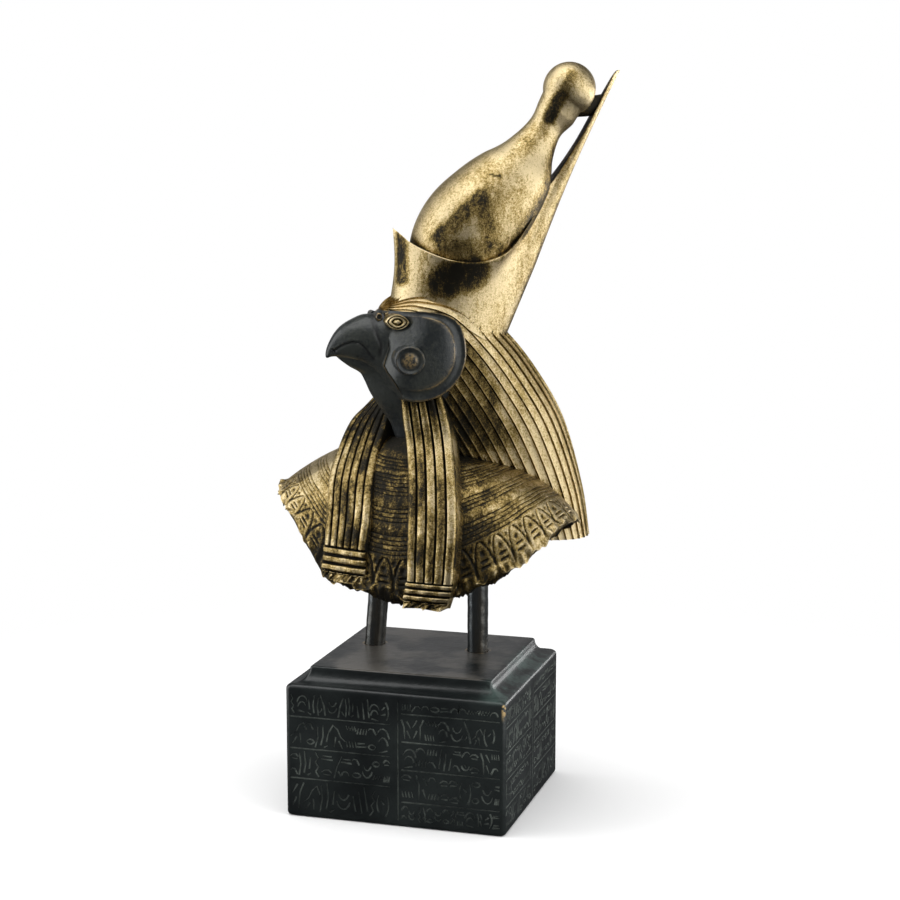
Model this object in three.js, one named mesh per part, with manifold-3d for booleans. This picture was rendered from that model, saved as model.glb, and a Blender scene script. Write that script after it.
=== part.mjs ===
// A falcon-headed bust in a double crown, held on two rods over an inscribed plinth.
// Millimetres, +Z up. The origin is the middle of the plinth's underside; the plinth's long
// inscribed face looks along -Y.

import * as THREE from "three";
import { mergeVertices } from "three/addons/utils/BufferGeometryUtils.js";
import Module from "manifold-3d";

const wasm = await Module();
wasm.setup();

// Plinth sizes
const PLINTH_WIDTH = 127;
const PLINTH_DEPTH = 119;
const BLOCK_HEIGHT = 76;
const TIER_HEIGHT = 8.4;
const TIER_INSET = 11.2;
const EDGE_ROUND = 2.2;
const CORNER_RADIUS = 3;

// Inscription sizes
const TEXT_ROWS = 5;
const TEXT_COLUMNS = 2;
const TEXT_MARGIN = 4.5;
const CUT_DEPTH = 0.7;
const RULE_WIDTH = 0.9;
const STROKE_WIDTH = 1.1;

// Rod sizes
const ROD_RADIUS = 6;
const ROD_SEAT = 10;
const ROD_REACH = 44;
const FIT_GAP = 0.3;
const LEFT_ROD = { x: -33.8, y: 9.4, lean: 4.6 };
const RIGHT_ROD = { x: 28.2, y: 10.4, lean: 0 };

// Bust sizes. Its free form is drawn at DRAWN_HEIGHT and scaled to BUST_HEIGHT.
const DRAWN_HEIGHT = 305.4;
const BUST_HEIGHT = 305.4;
const BUST_LIFT = 27.6;
const HEAD = { x: 12, y: 0, yaw: 32 };
const CHEST = { x: 1.5, y: 2.5, yaw: 76 };
const SHARE = BUST_HEIGHT / DRAWN_HEIGHT;
const PLINTH_TOP = BLOCK_HEIGHT + TIER_HEIGHT;
const BUST_FLOOR = PLINTH_TOP + BUST_LIFT;

// Carving of the bust
const STRANDS = 15;
const STRAND_CUT = 1.3;
const NEAR_STRANDS = 5;
const FAR_STRANDS = 6;
const STRAP_THICK = 6;
const STRAP_ROOT = 17;
const STRAP_BULGE = 1;
const COLLAR_PETALS = 26;
const COLLAR_CUT = 0.9;
const CROWN_WALL = 3.2;
const CROWN_WAIST = 0.04;
const CROWN_BOW = 2;
const HOLLOW_FLOOR = 0.5;
const UNDERSIDE = 24;

const radians = THREE.MathUtils.degToRad;
const mix = THREE.MathUtils.lerp;

// A smooth curve through rows of numbers, read at t from 0 to 1.
function through(rows, t) {
  const last = rows.length - 1;
  const place = Math.min(Math.max(t, 0), 1) * last;
  const i = Math.min(Math.floor(place), last - 1);
  const s = place - i;
  const start = rows[i];
  const end = rows[i + 1];
  const before = rows[i - 1] ?? start.map((value, k) => 2 * value - end[k]);
  const after = rows[i + 2] ?? end.map((value, k) => 2 * value - start[k]);
  return start.map((b, k) => {
    const a = before[k];
    const c = end[k];
    const d = after[k];
    return b + 0.5 * s * (c - a + s * (2 * a - 5 * b + 4 * c - d + s * (3 * (b - c) + d - a)));
  });
}

// Points of the head's frame (forward, near side, up) and of the chest's frame, in the part's frame.
function turned({ x, y, yaw }) {
  const [cos, sin] = [Math.cos(radians(yaw)), Math.sin(radians(yaw))];
  return (f, n, z) => new THREE.Vector3(x - cos * f + sin * n, y - sin * f - cos * n, z);
}
const headPoint = turned(HEAD);
const chestPoint = turned(CHEST);

// A closed skin over rings that each have the same number of points. Its ends are closed by
// strips that cross from one half of the ring to the other.
function loft(rings) {
  const count = rings[0].length;
  const points = rings.flat();
  const faces = [];
  for (let r = 0; r < rings.length - 1; r++) {
    for (let c = 0; c < count; c++) {
      const a = r * count + c;
      const b = r * count + ((c + 1) % count);
      faces.push(a, b, a + count, b, b + count, a + count);
    }
  }
  const top = (rings.length - 1) * count;
  for (let c = 0; c < (count - 2) / 2; c++) {
    const [a, b] = [c, c + 1];
    const [d, e] = [count - 1 - c, count - 2 - c];
    faces.push(b, a, d, top + a, top + b, top + d);
    if (e > b) {
      faces.push(b, d, e, top + b, top + e, top + d);
    }
  }
  return facingOut(points, faces);
}

// The volume's sign says whether the faces look in or out.
function facingOut(points, faces) {
  let volume = 0;
  for (let i = 0; i < faces.length; i += 3) {
    const [a, b, c] = [points[faces[i]], points[faces[i + 1]], points[faces[i + 2]]];
    volume += a.dot(new THREE.Vector3().crossVectors(b, c));
  }
  if (volume < 0) {
    for (let i = 0; i < faces.length; i += 3) {
      [faces[i], faces[i + 1]] = [faces[i + 1], faces[i]];
    }
  }
  const geometry = new THREE.BufferGeometry();
  const numbers = points.flatMap((p) => [p.x, p.y, p.z]);
  geometry.setAttribute("position", new THREE.Float32BufferAttribute(numbers, 3));
  geometry.setIndex(faces);
  return geometry;
}

// Edges shorter than this are closed up where forms meet
const JOIN_TOLERANCE = 0.05;

function toSolid(geometry) {
  const bare = geometry.clone();
  bare.deleteAttribute("normal");
  bare.deleteAttribute("uv");
  const merged = mergeVertices(bare, 1e-4);
  return new wasm.Manifold(
    new wasm.Mesh({
      numProp: 3,
      vertProperties: new Float32Array(merged.attributes.position.array),
      triVerts: new Uint32Array(merged.index.array),
      tolerance: JOIN_TOLERANCE,
    })
  );
}

function toGeometry(solid) {
  const mesh = solid.getMesh();
  const geometry = new THREE.BufferGeometry();
  geometry.setAttribute("position", new THREE.BufferAttribute(mesh.vertProperties, 3));
  geometry.setIndex(new THREE.BufferAttribute(mesh.triVerts, 1));
  return geometry;
}

function join(geometries) {
  return geometries.map(toSolid).reduce((sum, solid) => sum.add(solid));
}

// Both halves of a form that is the same on the near and the far side of the head.
function mirrored(make) {
  return [make(1), make(-1)];
}

// White crown: round sections along a spine, rows of forward, height and radius
const WHITE_CROWN = [
  [-3, 176, 21],
  [-6.5, 196, 27.5],
  [-13.5, 212, 29],
  [-26.5, 227.5, 26.7],
  [-41, 243.7, 21],
  [-50, 257.5, 13.2],
  [-57.5, 269, 9.7],
  [-63.7, 277.5, 11.5],
];
const BULB = { f: -71.5, z: 290.7, radius: 14.7 };
const CROWN_SIDES = 18;

function roundRing(f, z, radius, lean) {
  const ring = [];
  for (let i = 0; i < CROWN_SIDES; i++) {
    const angle = (2 * Math.PI * i) / CROWN_SIDES;
    const across = radius * Math.cos(angle);
    ring.push(headPoint(f + across * Math.cos(lean), radius * Math.sin(angle), z + across * Math.sin(lean)));
  }
  return ring;
}

function whiteCrown() {
  const rings = [];
  const steps = 10;
  for (let i = 0; i <= steps; i++) {
    const t = i / steps;
    const [f, z, radius] = through(WHITE_CROWN, t);
    const [f0, z0] = through(WHITE_CROWN, t - 0.02);
    const [f1, z1] = through(WHITE_CROWN, t + 0.02);
    rings.push(roundRing(f, z, radius, Math.atan2(f0 - f1, z1 - z0)));
  }
  const lean = Math.atan2(WHITE_CROWN.at(-1)[0] - BULB.f, BULB.z - WHITE_CROWN.at(-1)[1]);
  for (const latitude of [-15, 15, 42, 66, 82]) {
    const along = BULB.radius * Math.sin(radians(latitude));
    const f = BULB.f - along * Math.sin(lean);
    const z = BULB.z + along * Math.cos(lean);
    rings.push(roundRing(f, z, BULB.radius * Math.cos(radians(latitude)), lean));
  }
  return loft(rings);
}

// Red crown: the rim on the near side, from the front peak to the tip of the rear blade
const CROWN_RIM = [
  [30, 0, 215],
  [26.8, 7, 211.5],
  [22.3, 14, 206.8],
  [14, 23.5, 202],
  [4, 29, 198.5],
  [-7, 31, 197.2],
  [-18.4, 29.8, 198.6],
  [-30, 26, 203.5],
  [-42.9, 19, 217.3],
  [-54, 11.2, 233.6],
  [-62.9, 5.6, 243],
  [-76.4, 3.7, 262.2],
  [-88.9, 3, 284],
  [-97.7, 2.4, 299],
];
const CROWN_TIP = [-101.3, 0, 301.1];
const HOLLOW_STATIONS = 10;
const HOLLOW_BACK = [-56, 0, 237];
const CROWN_FOOT = { f: -2.5, length: 33, width: 27.5, z: 167.5, rise: 10.5 };

// The foot's outline at a share of the way round from the front, drawn in by an inset
function crownFoot(share, inset) {
  const angle = Math.PI * share;
  const { f, length, width, z, rise } = CROWN_FOOT;
  return [f + (length - inset) * Math.cos(angle), (width - inset) * Math.sin(angle), z + rise * Math.cos(angle)];
}

// A stack from the foot to the rim; the middle of the wall is drawn in a little, and the back bows
function crownBody(rim, inset, low, high) {
  const steps = 4;
  const rings = [];
  for (let i = 0; i <= steps; i++) {
    const t = mix(low, high, i / steps);
    const bend = CROWN_BOW * Math.sin(Math.PI * THREE.MathUtils.clamp((t - 0.25) / 0.75, 0, 1));
    const half = rim.map((end, k) => {
      const share = k / (rim.length - 1);
      const start = crownFoot(share, inset);
      const waist = 1 - CROWN_WAIST * Math.sin(Math.PI * Math.min(t, 1)) * (1 - share);
      const forward = mix(start[0], end[0], t) * waist + bend * share ** 4;
      return [forward, mix(start[1], end[1], t) * waist, mix(start[2], end[2], t)];
    });
    const far = half.slice(1, -1).reverse();
    rings.push([...half.map((p) => headPoint(...p)), ...far.map(([f, n, z]) => headPoint(f, -n, z))]);
  }
  return rings;
}

function insetRim() {
  const open = CROWN_RIM.slice(0, HOLLOW_STATIONS);
  return [
    ...open.map(([f, n, z], i) => {
      const [f0, n0] = open[Math.max(i - 1, 0)];
      const [f1, n1] = open[Math.min(i + 1, open.length - 1)];
      const length = Math.hypot(f1 - f0, n1 - n0) || 1;
      const turnedIn = i === 0 ? [-1, 0] : [-(n1 - n0) / length, (f1 - f0) / length];
      return [f + CROWN_WALL * turnedIn[0], Math.max(n + CROWN_WALL * turnedIn[1], 0), z];
    }),
    HOLLOW_BACK,
  ];
}

function redCrown() {
  const outer = toSolid(loft(crownBody([...CROWN_RIM, CROWN_TIP], 0, -0.1, 1)));
  const hollow = toSolid(loft(crownBody(insetRim(), CROWN_WALL, HOLLOW_FLOOR, 1.12)));
  return outer.subtract(hollow);
}

// Wig, rows from the brow to the hem: inner edge (forward, side, up), fullness of the side,
// and the ridge down the middle of the back (forward, half width, up)
const WIG_ROWS = [
  [37.5, 5, 168, 6, 36.5, 4, 171.5],
  [38, 13, 160, 18, 29, 15, 176.5],
  [37, 17, 151, 27, 15, 36, 181.5],
  [34, 17, 141, 29, -9, 43, 177],
  [28, 17, 129, 29, -34, 36, 155.5],
  [17, 18, 112, 27, -52.5, 31, 132.5],
  [4, 19, 92, 25, -67, 35, 106.5],
  [-14, 21, 64, 26, -77.5, 41, 70],
  [-26, 23, 42, 28, -81.5, 45, 40.5],
];
const WIG_STEPS = 9;

function wigSurface(u, v) {
  const [f0, n0, z0, side, f3, width, z3] = through(WIG_ROWS, v);
  const w = 1 - u;
  const blend = [w * w * w, 3 * w * w * u, 3 * w * u * u, u * u * u];
  const f = blend[0] * f0 + blend[1] * mix(f0, f3, 0.3) + (blend[2] + blend[3]) * f3;
  const n = blend[0] * n0 + blend[1] * side + blend[2] * width;
  const z = blend[0] * z0 + blend[1] * mix(z0, z3, 0.3) + (blend[2] + blend[3]) * z3;
  return headPoint(f, n, z);
}

// A point of a surface, sunk below it along its normal
function sunk(surface, u, v, depth) {
  const e = 0.01;
  const along = surface(u + e, v).sub(surface(u - e, v));
  const across = surface(u, v + e).sub(surface(u, v - e));
  const normal = along.cross(across).normalize();
  return surface(u, v).addScaledVector(normal, -depth);
}

// Across every strand: the cut at its edge, then its crest
const STRAND_PROFILE = [[0, 1], [0.5, 0]];

function wig() {
  const rings = [];
  for (let j = 0; j <= WIG_STEPS; j++) {
    const v = (j / WIG_STEPS) ** 1.25;
    const depth = STRAND_CUT * Math.min(1, 4 * v);
    const near = [];
    for (let i = 0; i < STRANDS; i++) {
      for (const [place, cut] of STRAND_PROFILE) {
        near.push([(i + place) / STRANDS, depth * cut]);
      }
    }
    const ring = near.map(([u, cut]) => sunk(wigSurface, Math.max(u, 0.001), v, cut));
    const ridge = wigSurface(1, v);
    const mirror = ring.map(mirrorInHead).reverse();
    rings.push([...ring, ridge, ...mirror]);
  }
  return loft(rings);
}

// The same point on the far side of the head
function mirrorInHead(point) {
  const side = headPoint(0, 1, 0).sub(headPoint(0, 0, 0));
  const distance = point.clone().sub(headPoint(0, 0, 0)).dot(side);
  return point.clone().addScaledVector(side, -2 * distance);
}

// Head and upper beak: rows of forward, top, bottom and half width
const HEAD_ROWS = [
  [-12, 166, 108, 20],
  [4, 168, 106, 25],
  [18, 169, 110, 25.5],
  [29, 170.5, 118, 22],
  [36, 169.8, 126, 18],
  [41, 168.3, 134, 15.8],
  [47.5, 167.6, 140, 13.2],
  [54.3, 164.8, 142.8, 10.5],
  [59, 162, 144.2, 8],
  [62.5, 158.6, 144.9, 5.8],
  [65.3, 154.4, 144.8, 4],
  [67.3, 150.2, 144.2, 2.4],
  [68.1, 147.4, 144.6, 1],
];
const HEAD_SIDES = 14;

function headShell() {
  const steps = 14;
  const rings = [];
  for (let j = 0; j <= steps; j++) {
    const [f, top, bottom, width] = through(HEAD_ROWS, j / steps);
    const ring = [];
    for (let i = 0; i < HEAD_SIDES; i++) {
      const angle = (2 * Math.PI * i) / HEAD_SIDES;
      const side = Math.sign(Math.cos(angle)) * Math.abs(Math.cos(angle)) ** 0.85;
      ring.push(headPoint(f, width * side, mix(bottom, top, 0.5 + 0.5 * Math.sin(angle))));
    }
    rings.push(ring);
  }
  return loft(rings);
}

// Lower beak and throat: rows of height, front, back and half width
const THROAT_ROWS = [
  [84, 28, -26, 23],
  [94, 28, -26, 22],
  [106, 31.5, -26, 20],
  [113, 36, -24, 18],
  [119.4, 40.3, -20, 18.5],
  [125, 43.6, -16, 18],
  [130.8, 46.2, -12, 16.5],
  [135.5, 49, -8, 15],
  [139, 54.8, -4, 12],
  [142.5, 59.6, 0, 10],
  [144.8, 62.2, 4, 8.5],
];

function throat() {
  const steps = 9;
  const rings = [];
  for (let j = 0; j <= steps; j++) {
    const [z, front, back, width] = through(THROAT_ROWS, j / steps);
    const ring = [];
    for (let i = 0; i < HEAD_SIDES; i++) {
      const angle = (2 * Math.PI * i) / HEAD_SIDES;
      const narrow = 1 - 0.35 * Math.max(Math.cos(angle), 0) ** 2;
      ring.push(headPoint(mix(back, front, 0.5 + 0.5 * Math.cos(angle)), width * narrow * Math.sin(angle), z));
    }
    rings.push(ring);
  }
  return loft(rings);
}

// Cheek lobe: a thick disc that is cut off in front, with a raised inner disc. It sinks into the
// face towards the front and towards the eye.
const LOBE = { f: 23.9, z: 148.4, radius: 26.6, front: 16, sink: 0.26, eyeSink: 0.92 };
const LOBE_STEPS = [
  [1, 0],
  [1, 28.4],
  [0.94, 30.2],
  [0.8, 29.4],
  [0.74, 31],
  [0.4, 33],
];
const LOBE_SIDES = 20;

function lobeReach(angle) {
  const forward = Math.cos(angle);
  return forward > 0 ? Math.min(LOBE.radius, LOBE.front / forward) : LOBE.radius;
}

function lobe(side) {
  const rings = LOBE_STEPS.map(([share, n]) => {
    const ring = [];
    for (let i = 0; i < LOBE_SIDES; i++) {
      const angle = (2 * Math.PI * i) / LOBE_SIDES;
      const reach = share * lobeReach(angle);
      const [forward, up] = [reach * Math.cos(angle), reach * Math.sin(angle)];
      const toEye = Math.max(0.85 * forward + 0.5 * up, 0) / LOBE.radius;
      const sink = LOBE.sink * Math.max(forward / LOBE.front, 0) ** 2 + LOBE.eyeSink * toEye ** 2;
      ring.push(headPoint(LOBE.f + forward, side * n * (1 - sink), LOBE.z + up));
    }
    return ring;
  });
  return loft(rings);
}

// The window in the wig that leaves the lobe, the eye and the face free
const WINDOW = { radius: 26, rise: 22.3, front: 36, low: 10, high: 70, sides: 20 };

function faceWindow(side) {
  const rings = [WINDOW.low, WINDOW.high].map((n) => {
    const ring = [];
    for (let i = 0; i < WINDOW.sides; i++) {
      const angle = (2 * Math.PI * i) / WINDOW.sides;
      const [cos, up] = [Math.cos(angle), WINDOW.radius * Math.sin(angle)];
      const forward = cos > 0 ? WINDOW.front * cos ** 0.4 : WINDOW.radius * cos;
      ring.push(headPoint(LOBE.f + forward, side * n, LOBE.z + Math.min(up, WINDOW.rise)));
    }
    return ring;
  });
  return toSolid(loft(rings));
}

// A low round or almond boss on the side of the face: steps of share of its size and height.
// Its lean brings its front end in towards the face.
function boss(side, { f, z, length, height, point = 1, lean = 0 }, steps, sides) {
  const rings = steps.map(([share, n]) => {
    const ring = [];
    for (let i = 0; i < sides; i++) {
      const angle = (2 * Math.PI * i) / sides;
      const lift = Math.sign(Math.sin(angle)) * Math.abs(Math.sin(angle)) ** point;
      const forward = share * length * Math.cos(angle);
      ring.push(headPoint(f + forward, side * (n - lean * forward), z + share * height * lift));
    }
    return ring;
  });
  return loft(rings);
}
const EAR_SIDES = 11;
const EYE_SIDES = 10;
const BROW_SIDES = 6;
const EAR = { f: 28.6, z: 145, length: 8.2, height: 8.2, lean: 0.24 };
const EAR_STEPS = [[1, 24], [1, 31.6], [0.8, 32.6], [0.62, 31.6], [0.3, 32.6]];
const EYE = { f: 32.5, z: 164.9, length: 5.9, height: 4.3, point: 1.1, lean: 0.68 };
const EYE_STEPS = [[1, 10], [1, 20.2], [0.75, 21.2], [0.6, 20.4], [0.3, 21]];
const BROW = { f: 38.2, z: 166.8, length: 2.6, height: 3 };
const BROW_STEPS = [[1, 2], [1, 9], [0.5, 10.4]];

// Straps: rows of forward, side, up in the chest's frame, width, and the strap's turn to its side
const NEAR_STRAP = [
  [26, 10.2, 128, 22.5, 26],
  [28.5, 15.4, 111, 26, 20],
  [31, 19.1, 98.5, 27, 14],
  [41, 26.8, 80, 28.4, 8],
  [51, 33, 56.5, 29.3, 7],
  [56.5, 35.3, 38, 28.3, 7],
  [58.6, 35.8, 27.5, 27, 8],
  [59.5, 33, 14, 25.5, 8],
];
const FAR_STRAP = [
  [1, -20, 128, 27, -50],
  [8, -28, 111.5, 31, -30],
  [16.5, -29.6, 103, 32.5, -18],
  [27.5, -29.3, 90, 31, -10],
  [40, -26.2, 75.5, 31.5, -6],
  [50, -21.7, 57, 30.5, -5],
  [55.5, -20.3, 40, 29, -5],
  [57.5, -20, 22.5, 31.5, -5],
];
const STRAP_PROFILE = [[0, 0], [0.5, 1]];
const STRAP_BANDS = [0.83, 0.88, 0.93];

function strap(rows, strands) {
  const shares = [0.04, 0.2, 0.35, 0.5, 0.65, 0.8];
  const bands = STRAP_BANDS.flatMap((t) => [[t, 0], [t + 0.02, 1]]);
  const stations = [[0, 1], ...shares.map((t) => [t, null]), ...bands, [1, 1]];
  const rings = stations.map(([t, band]) => {
    const [f, n, z, width, turn] = through(rows, t);
    const [f0, , z0] = through(rows, t - 0.03);
    const [f1, , z1] = through(rows, t + 0.03);
    const slope = Math.atan2(f1 - f0, z0 - z1);
    const angle = radians(turn);
    const outward = [Math.cos(slope) * Math.cos(angle), Math.sin(angle), Math.sin(slope) * Math.cos(angle)];
    const sideways = [-Math.sin(angle), Math.cos(angle)];
    const at = (across, out) =>
      chestPoint(
        f + sideways[0] * across + outward[0] * out,
        n + sideways[1] * across + outward[1] * out,
        z + outward[2] * out
      );
    const front = [];
    for (let i = 0; i <= strands; i++) {
      for (const [place, crest] of i < strands ? STRAP_PROFILE : [STRAP_PROFILE[0]]) {
        const share = 2 * ((i + place) / strands) - 1;
        const out = (band ?? crest) * STRAND_CUT + STRAP_BULGE * (1 - share * share);
        front.push(at((share * width) / 2, out));
      }
    }
    const back = -mix(STRAP_ROOT, STRAP_THICK, t);
    return [...front, at(width / 2, back), at(-width / 2, back)];
  });
  return loft(rings);
}

// Collar and shoulders: at the front, on either side and at the back, four steps of reach and
// height from the neck to the broken edge
const CAPE = {
  front: [[23, 100], [39, 86], [54, 54], [60, 20]],
  near: [[20, 91.5], [42, 88], [68, 79], [86.5, 58]],
  far: [[19.1, 98], [43, 95], [70.7, 83], [92.6, 61]],
  back: [[17, 96], [36, 92], [48, 72], [52, 46]],
};

// Height of the broken edge round the front, rows of angle from the front and height
const EDGE_ROWS = [
  [-90, 65],
  [-56, 62],
  [-42, 52],
  [-30, 37],
  [-22, 24],
  [0, 19],
  [11, 17.5],
  [32, 21.5],
  [43, 28.5],
  [55, 36],
  [66, 43.5],
  [75, 50.5],
  [90, 57.5],
];

function edgeHeight(angle) {
  const degrees = THREE.MathUtils.radToDeg(angle);
  if (Math.abs(degrees) >= 90) {
    const share = (Math.abs(degrees) - 90) / 90;
    return mix(degrees > 0 ? 57.5 : 65, CAPE.back[3][1], share);
  }
  const after = EDGE_ROWS.findIndex(([at]) => at > degrees);
  const [a0, z0] = EDGE_ROWS[after - 1];
  const [a1, z1] = EDGE_ROWS[after];
  return mix(z0, z1, (degrees - a0) / (a1 - a0));
}

// Point of the collar: s runs from the neck to the edge, the angle from the front to the near side
function capePoint(s, angle) {
  const forward = Math.cos(angle);
  const sideways = Math.sin(angle);
  const w = 1 - s;
  const blend = [w * w * w, 3 * w * w * s, 3 * w * s * s, s * s * s];
  const end = forward > 0 ? CAPE.front : CAPE.back;
  const side = sideways < 0 ? CAPE.far : CAPE.near;
  let reach = 0;
  let spread = 0;
  let z = 0;
  for (let k = 0; k < 4; k++) {
    const height = mix(side[k][1], end[k][1], forward * forward);
    reach += blend[k] * end[k][0];
    spread += blend[k] * side[k][0];
    z += blend[k] * (k === 3 ? edgeHeight(angle) : height);
  }
  const square = Math.abs(forward) ** 0.82 * Math.sign(forward);
  return [reach * square, spread * sideways, z];
}

// Depth of the cuts at a share of the way down the collar: ring lines, then a petal border
const COLLAR_ROWS = [
  [0.02, 0],
  [0.22, 0],
  [0.27, 1],
  [0.32, 0],
  [0.42, 0],
  [0.46, 1],
  [0.5, 0],
  [0.62, 0],
  [0.66, 1],
  [0.7, 0],
  [0.78, 0],
  [1, 0],
];
const PETAL_START = 0.76;

// A steady wobble that stands for the broken edge
function ragged(angle) {
  return 1.6 * Math.sin(9 * angle + 1) + 1.2 * Math.sin(23 * angle) + 0.8 * Math.sin(37 * angle + 2);
}

function torso() {
  const columns = 2 * COLLAR_PETALS;
  const ring = (make) =>
    Array.from({ length: columns }, (_, i) => {
      const angle = (2 * Math.PI * i) / columns - Math.PI;
      return make(angle, i);
    });
  const outside = COLLAR_ROWS.map(([s, cut]) =>
    ring((angle, i) => {
      const [f, n, z] = capePoint(s, angle);
      const petal = s > PETAL_START && i % 2 === 0 ? 1 : 0;
      const inward = 1 - (COLLAR_CUT * Math.max(cut, petal)) / Math.hypot(f, n);
      const broken = s === 1 ? ragged(angle) : 0;
      return chestPoint(f * inward, n * inward, z + broken);
    })
  );
  const underside = [[0.93, 3.5], [0.84, 3]].map(([share, lift]) =>
    ring((angle) => {
      const [f, n, z] = capePoint(1, angle);
      return chestPoint(f * share, n * share, z - lift + 0.6 * ragged(angle + share));
    })
  );
  const floor = ring((angle) => {
    const [f, n] = capePoint(1, angle);
    return chestPoint(f * 0.5, n * 0.5, UNDERSIDE);
  });
  return loft([...outside, ...underside, floor]);
}
// The bust is cast as one piece; rods enter it from below
function rodShape(radius, low, high, { x, y, lean }) {
  const length = (high - low) / Math.cos(radians(lean));
  const geometry = new THREE.CylinderGeometry(radius, radius, length, 24);
  geometry.rotateX(Math.PI / 2);
  geometry.translate(0, 0, length / 2 + (low - PLINTH_TOP) / Math.cos(radians(lean)));
  geometry.rotateY(radians(lean));
  return geometry.translate(x, y, PLINTH_TOP);
}

const ROD_TOP = BUST_FLOOR + ROD_REACH * SHARE;

function bust() {
  const hair = mirrored(faceWindow).reduce((solid, window) => solid.subtract(window), toSolid(wig()));
  const forms = [
    whiteCrown(),
    headShell(),
    throat(),
    ...mirrored(lobe),
    ...mirrored((side) => boss(side, EAR, EAR_STEPS, EAR_SIDES)),
    ...mirrored((side) => boss(side, EYE, EYE_STEPS, EYE_SIDES)),
    ...mirrored((side) => boss(side, BROW, BROW_STEPS, BROW_SIDES)),
    strap(NEAR_STRAP, NEAR_STRANDS),
    strap(FAR_STRAP, FAR_STRANDS),
    torso(),
  ];
  const figure = join(forms).add(hair).add(redCrown());
  const placed = toGeometry(figure).scale(SHARE, SHARE, SHARE).translate(0, 0, BUST_FLOOR);
  const sockets = [LEFT_ROD, RIGHT_ROD].map((rod) =>
    toSolid(rodShape(ROD_RADIUS + FIT_GAP, PLINTH_TOP, ROD_TOP + FIT_GAP, rod))
  );
  return sockets.reduce((solid, socket) => solid.subtract(socket), toSolid(placed));
}

// Plinth outline: a rectangle with rounded corners, drawn in by an inset
function plinthRing(inset, z) {
  const ring = [];
  const halfX = PLINTH_WIDTH / 2 - inset;
  const halfY = PLINTH_DEPTH / 2 - inset;
  const corner = Math.min(CORNER_RADIUS, halfX, halfY);
  for (const [sx, sy, start] of [[1, 1, 0], [-1, 1, 90], [-1, -1, 180], [1, -1, 270]]) {
    for (const step of [0, 30, 60, 90]) {
      const angle = radians(start + step);
      ring.push(
        new THREE.Vector3(
          sx * (halfX - corner) + corner * Math.cos(angle),
          sy * (halfY - corner) + corner * Math.sin(angle),
          z
        )
      );
    }
  }
  return ring;
}

// A cut bar lying in a side face of the plinth; across and up are measured on that face
function cutBar(face, across, up, length, width, tilt) {
  const bar = new THREE.BoxGeometry(length, 2 * CUT_DEPTH, width);
  bar.rotateY(radians(tilt));
  bar.translate(across, -face.out, up);
  return bar.rotateZ(radians(face.turn));
}

const FACES = [
  { turn: 0, out: PLINTH_DEPTH / 2, width: PLINTH_WIDTH, strokes: 3 },
  { turn: 90, out: PLINTH_WIDTH / 2, width: PLINTH_DEPTH, strokes: 2 },
  { turn: 180, out: PLINTH_DEPTH / 2, width: PLINTH_WIDTH, strokes: 0 },
  { turn: 270, out: PLINTH_WIDTH / 2, width: PLINTH_DEPTH, strokes: 0 },
];

// Ruled lines, and between them a few plain strokes that stand for the signs
function inscription(face) {
  const bars = [];
  const columnWidth = (face.width - TEXT_MARGIN * (TEXT_COLUMNS + 1)) / TEXT_COLUMNS;
  const rowHeight = (BLOCK_HEIGHT - 2 * TEXT_MARGIN) / TEXT_ROWS;
  for (let column = 0; column < TEXT_COLUMNS; column++) {
    const left = -face.width / 2 + TEXT_MARGIN + column * (columnWidth + TEXT_MARGIN);
    for (let row = 0; row < TEXT_ROWS; row++) {
      const low = TEXT_MARGIN + row * rowHeight;
      if (row > 0) {
        bars.push(cutBar(face, left + columnWidth / 2, low, columnWidth, RULE_WIDTH, 0));
      }
      for (let stroke = 0; stroke < face.strokes; stroke++) {
        const turn = (column * 7 + row * 5 + stroke * 3) % 4;
        const across = left + (columnWidth * (stroke + 0.5)) / face.strokes;
        const length = rowHeight * (turn === 0 ? 0.36 : 0.56);
        const tilt = [0, 90, 65, 118][turn];
        bars.push(cutBar(face, across, low + rowHeight / 2, length, STROKE_WIDTH, tilt));
      }
    }
  }
  const middle = BLOCK_HEIGHT / 2;
  bars.push(cutBar(face, 0, middle, BLOCK_HEIGHT - 2 * TEXT_MARGIN, RULE_WIDTH, 90));
  return bars;
}

function plinth() {
  const block = loft([
    plinthRing(EDGE_ROUND, 0),
    plinthRing(0, EDGE_ROUND),
    plinthRing(0, BLOCK_HEIGHT - EDGE_ROUND),
    plinthRing(EDGE_ROUND * 0.4, BLOCK_HEIGHT - EDGE_ROUND * 0.3),
    plinthRing(EDGE_ROUND, BLOCK_HEIGHT),
    plinthRing(TIER_INSET * 0.62, BLOCK_HEIGHT + TIER_HEIGHT * 0.12),
    plinthRing(TIER_INSET * 0.8, BLOCK_HEIGHT + TIER_HEIGHT * 0.42),
    plinthRing(TIER_INSET, PLINTH_TOP - TIER_HEIGHT * 0.15),
    plinthRing(TIER_INSET + EDGE_ROUND * 0.5, PLINTH_TOP),
  ]);
  const seats = [LEFT_ROD, RIGHT_ROD].map((rod) =>
    rodShape(ROD_RADIUS + FIT_GAP, PLINTH_TOP - ROD_SEAT - FIT_GAP, PLINTH_TOP + ROD_SEAT, rod)
  );
  const cuts = [...FACES.flatMap(inscription), ...seats];
  return cuts.reduce((solid, cut) => solid.subtract(toSolid(cut)), toSolid(block));
}

function material(color, roughness, metalness) {
  return new THREE.MeshStandardMaterial({ color, roughness, metalness });
}
const gilt = material(0xb39a5f, 0.38, 0.85);
const darkPatina = material(0x1d2426, 0.45, 0.4);
const darkMetal = material(0x17191a, 0.3, 0.8);

const group = new THREE.Group();

function addPiece(name, geometry, finish) {
  const mesh = new THREE.Mesh(geometry, finish);
  mesh.name = name;
  group.add(mesh);
}

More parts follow.
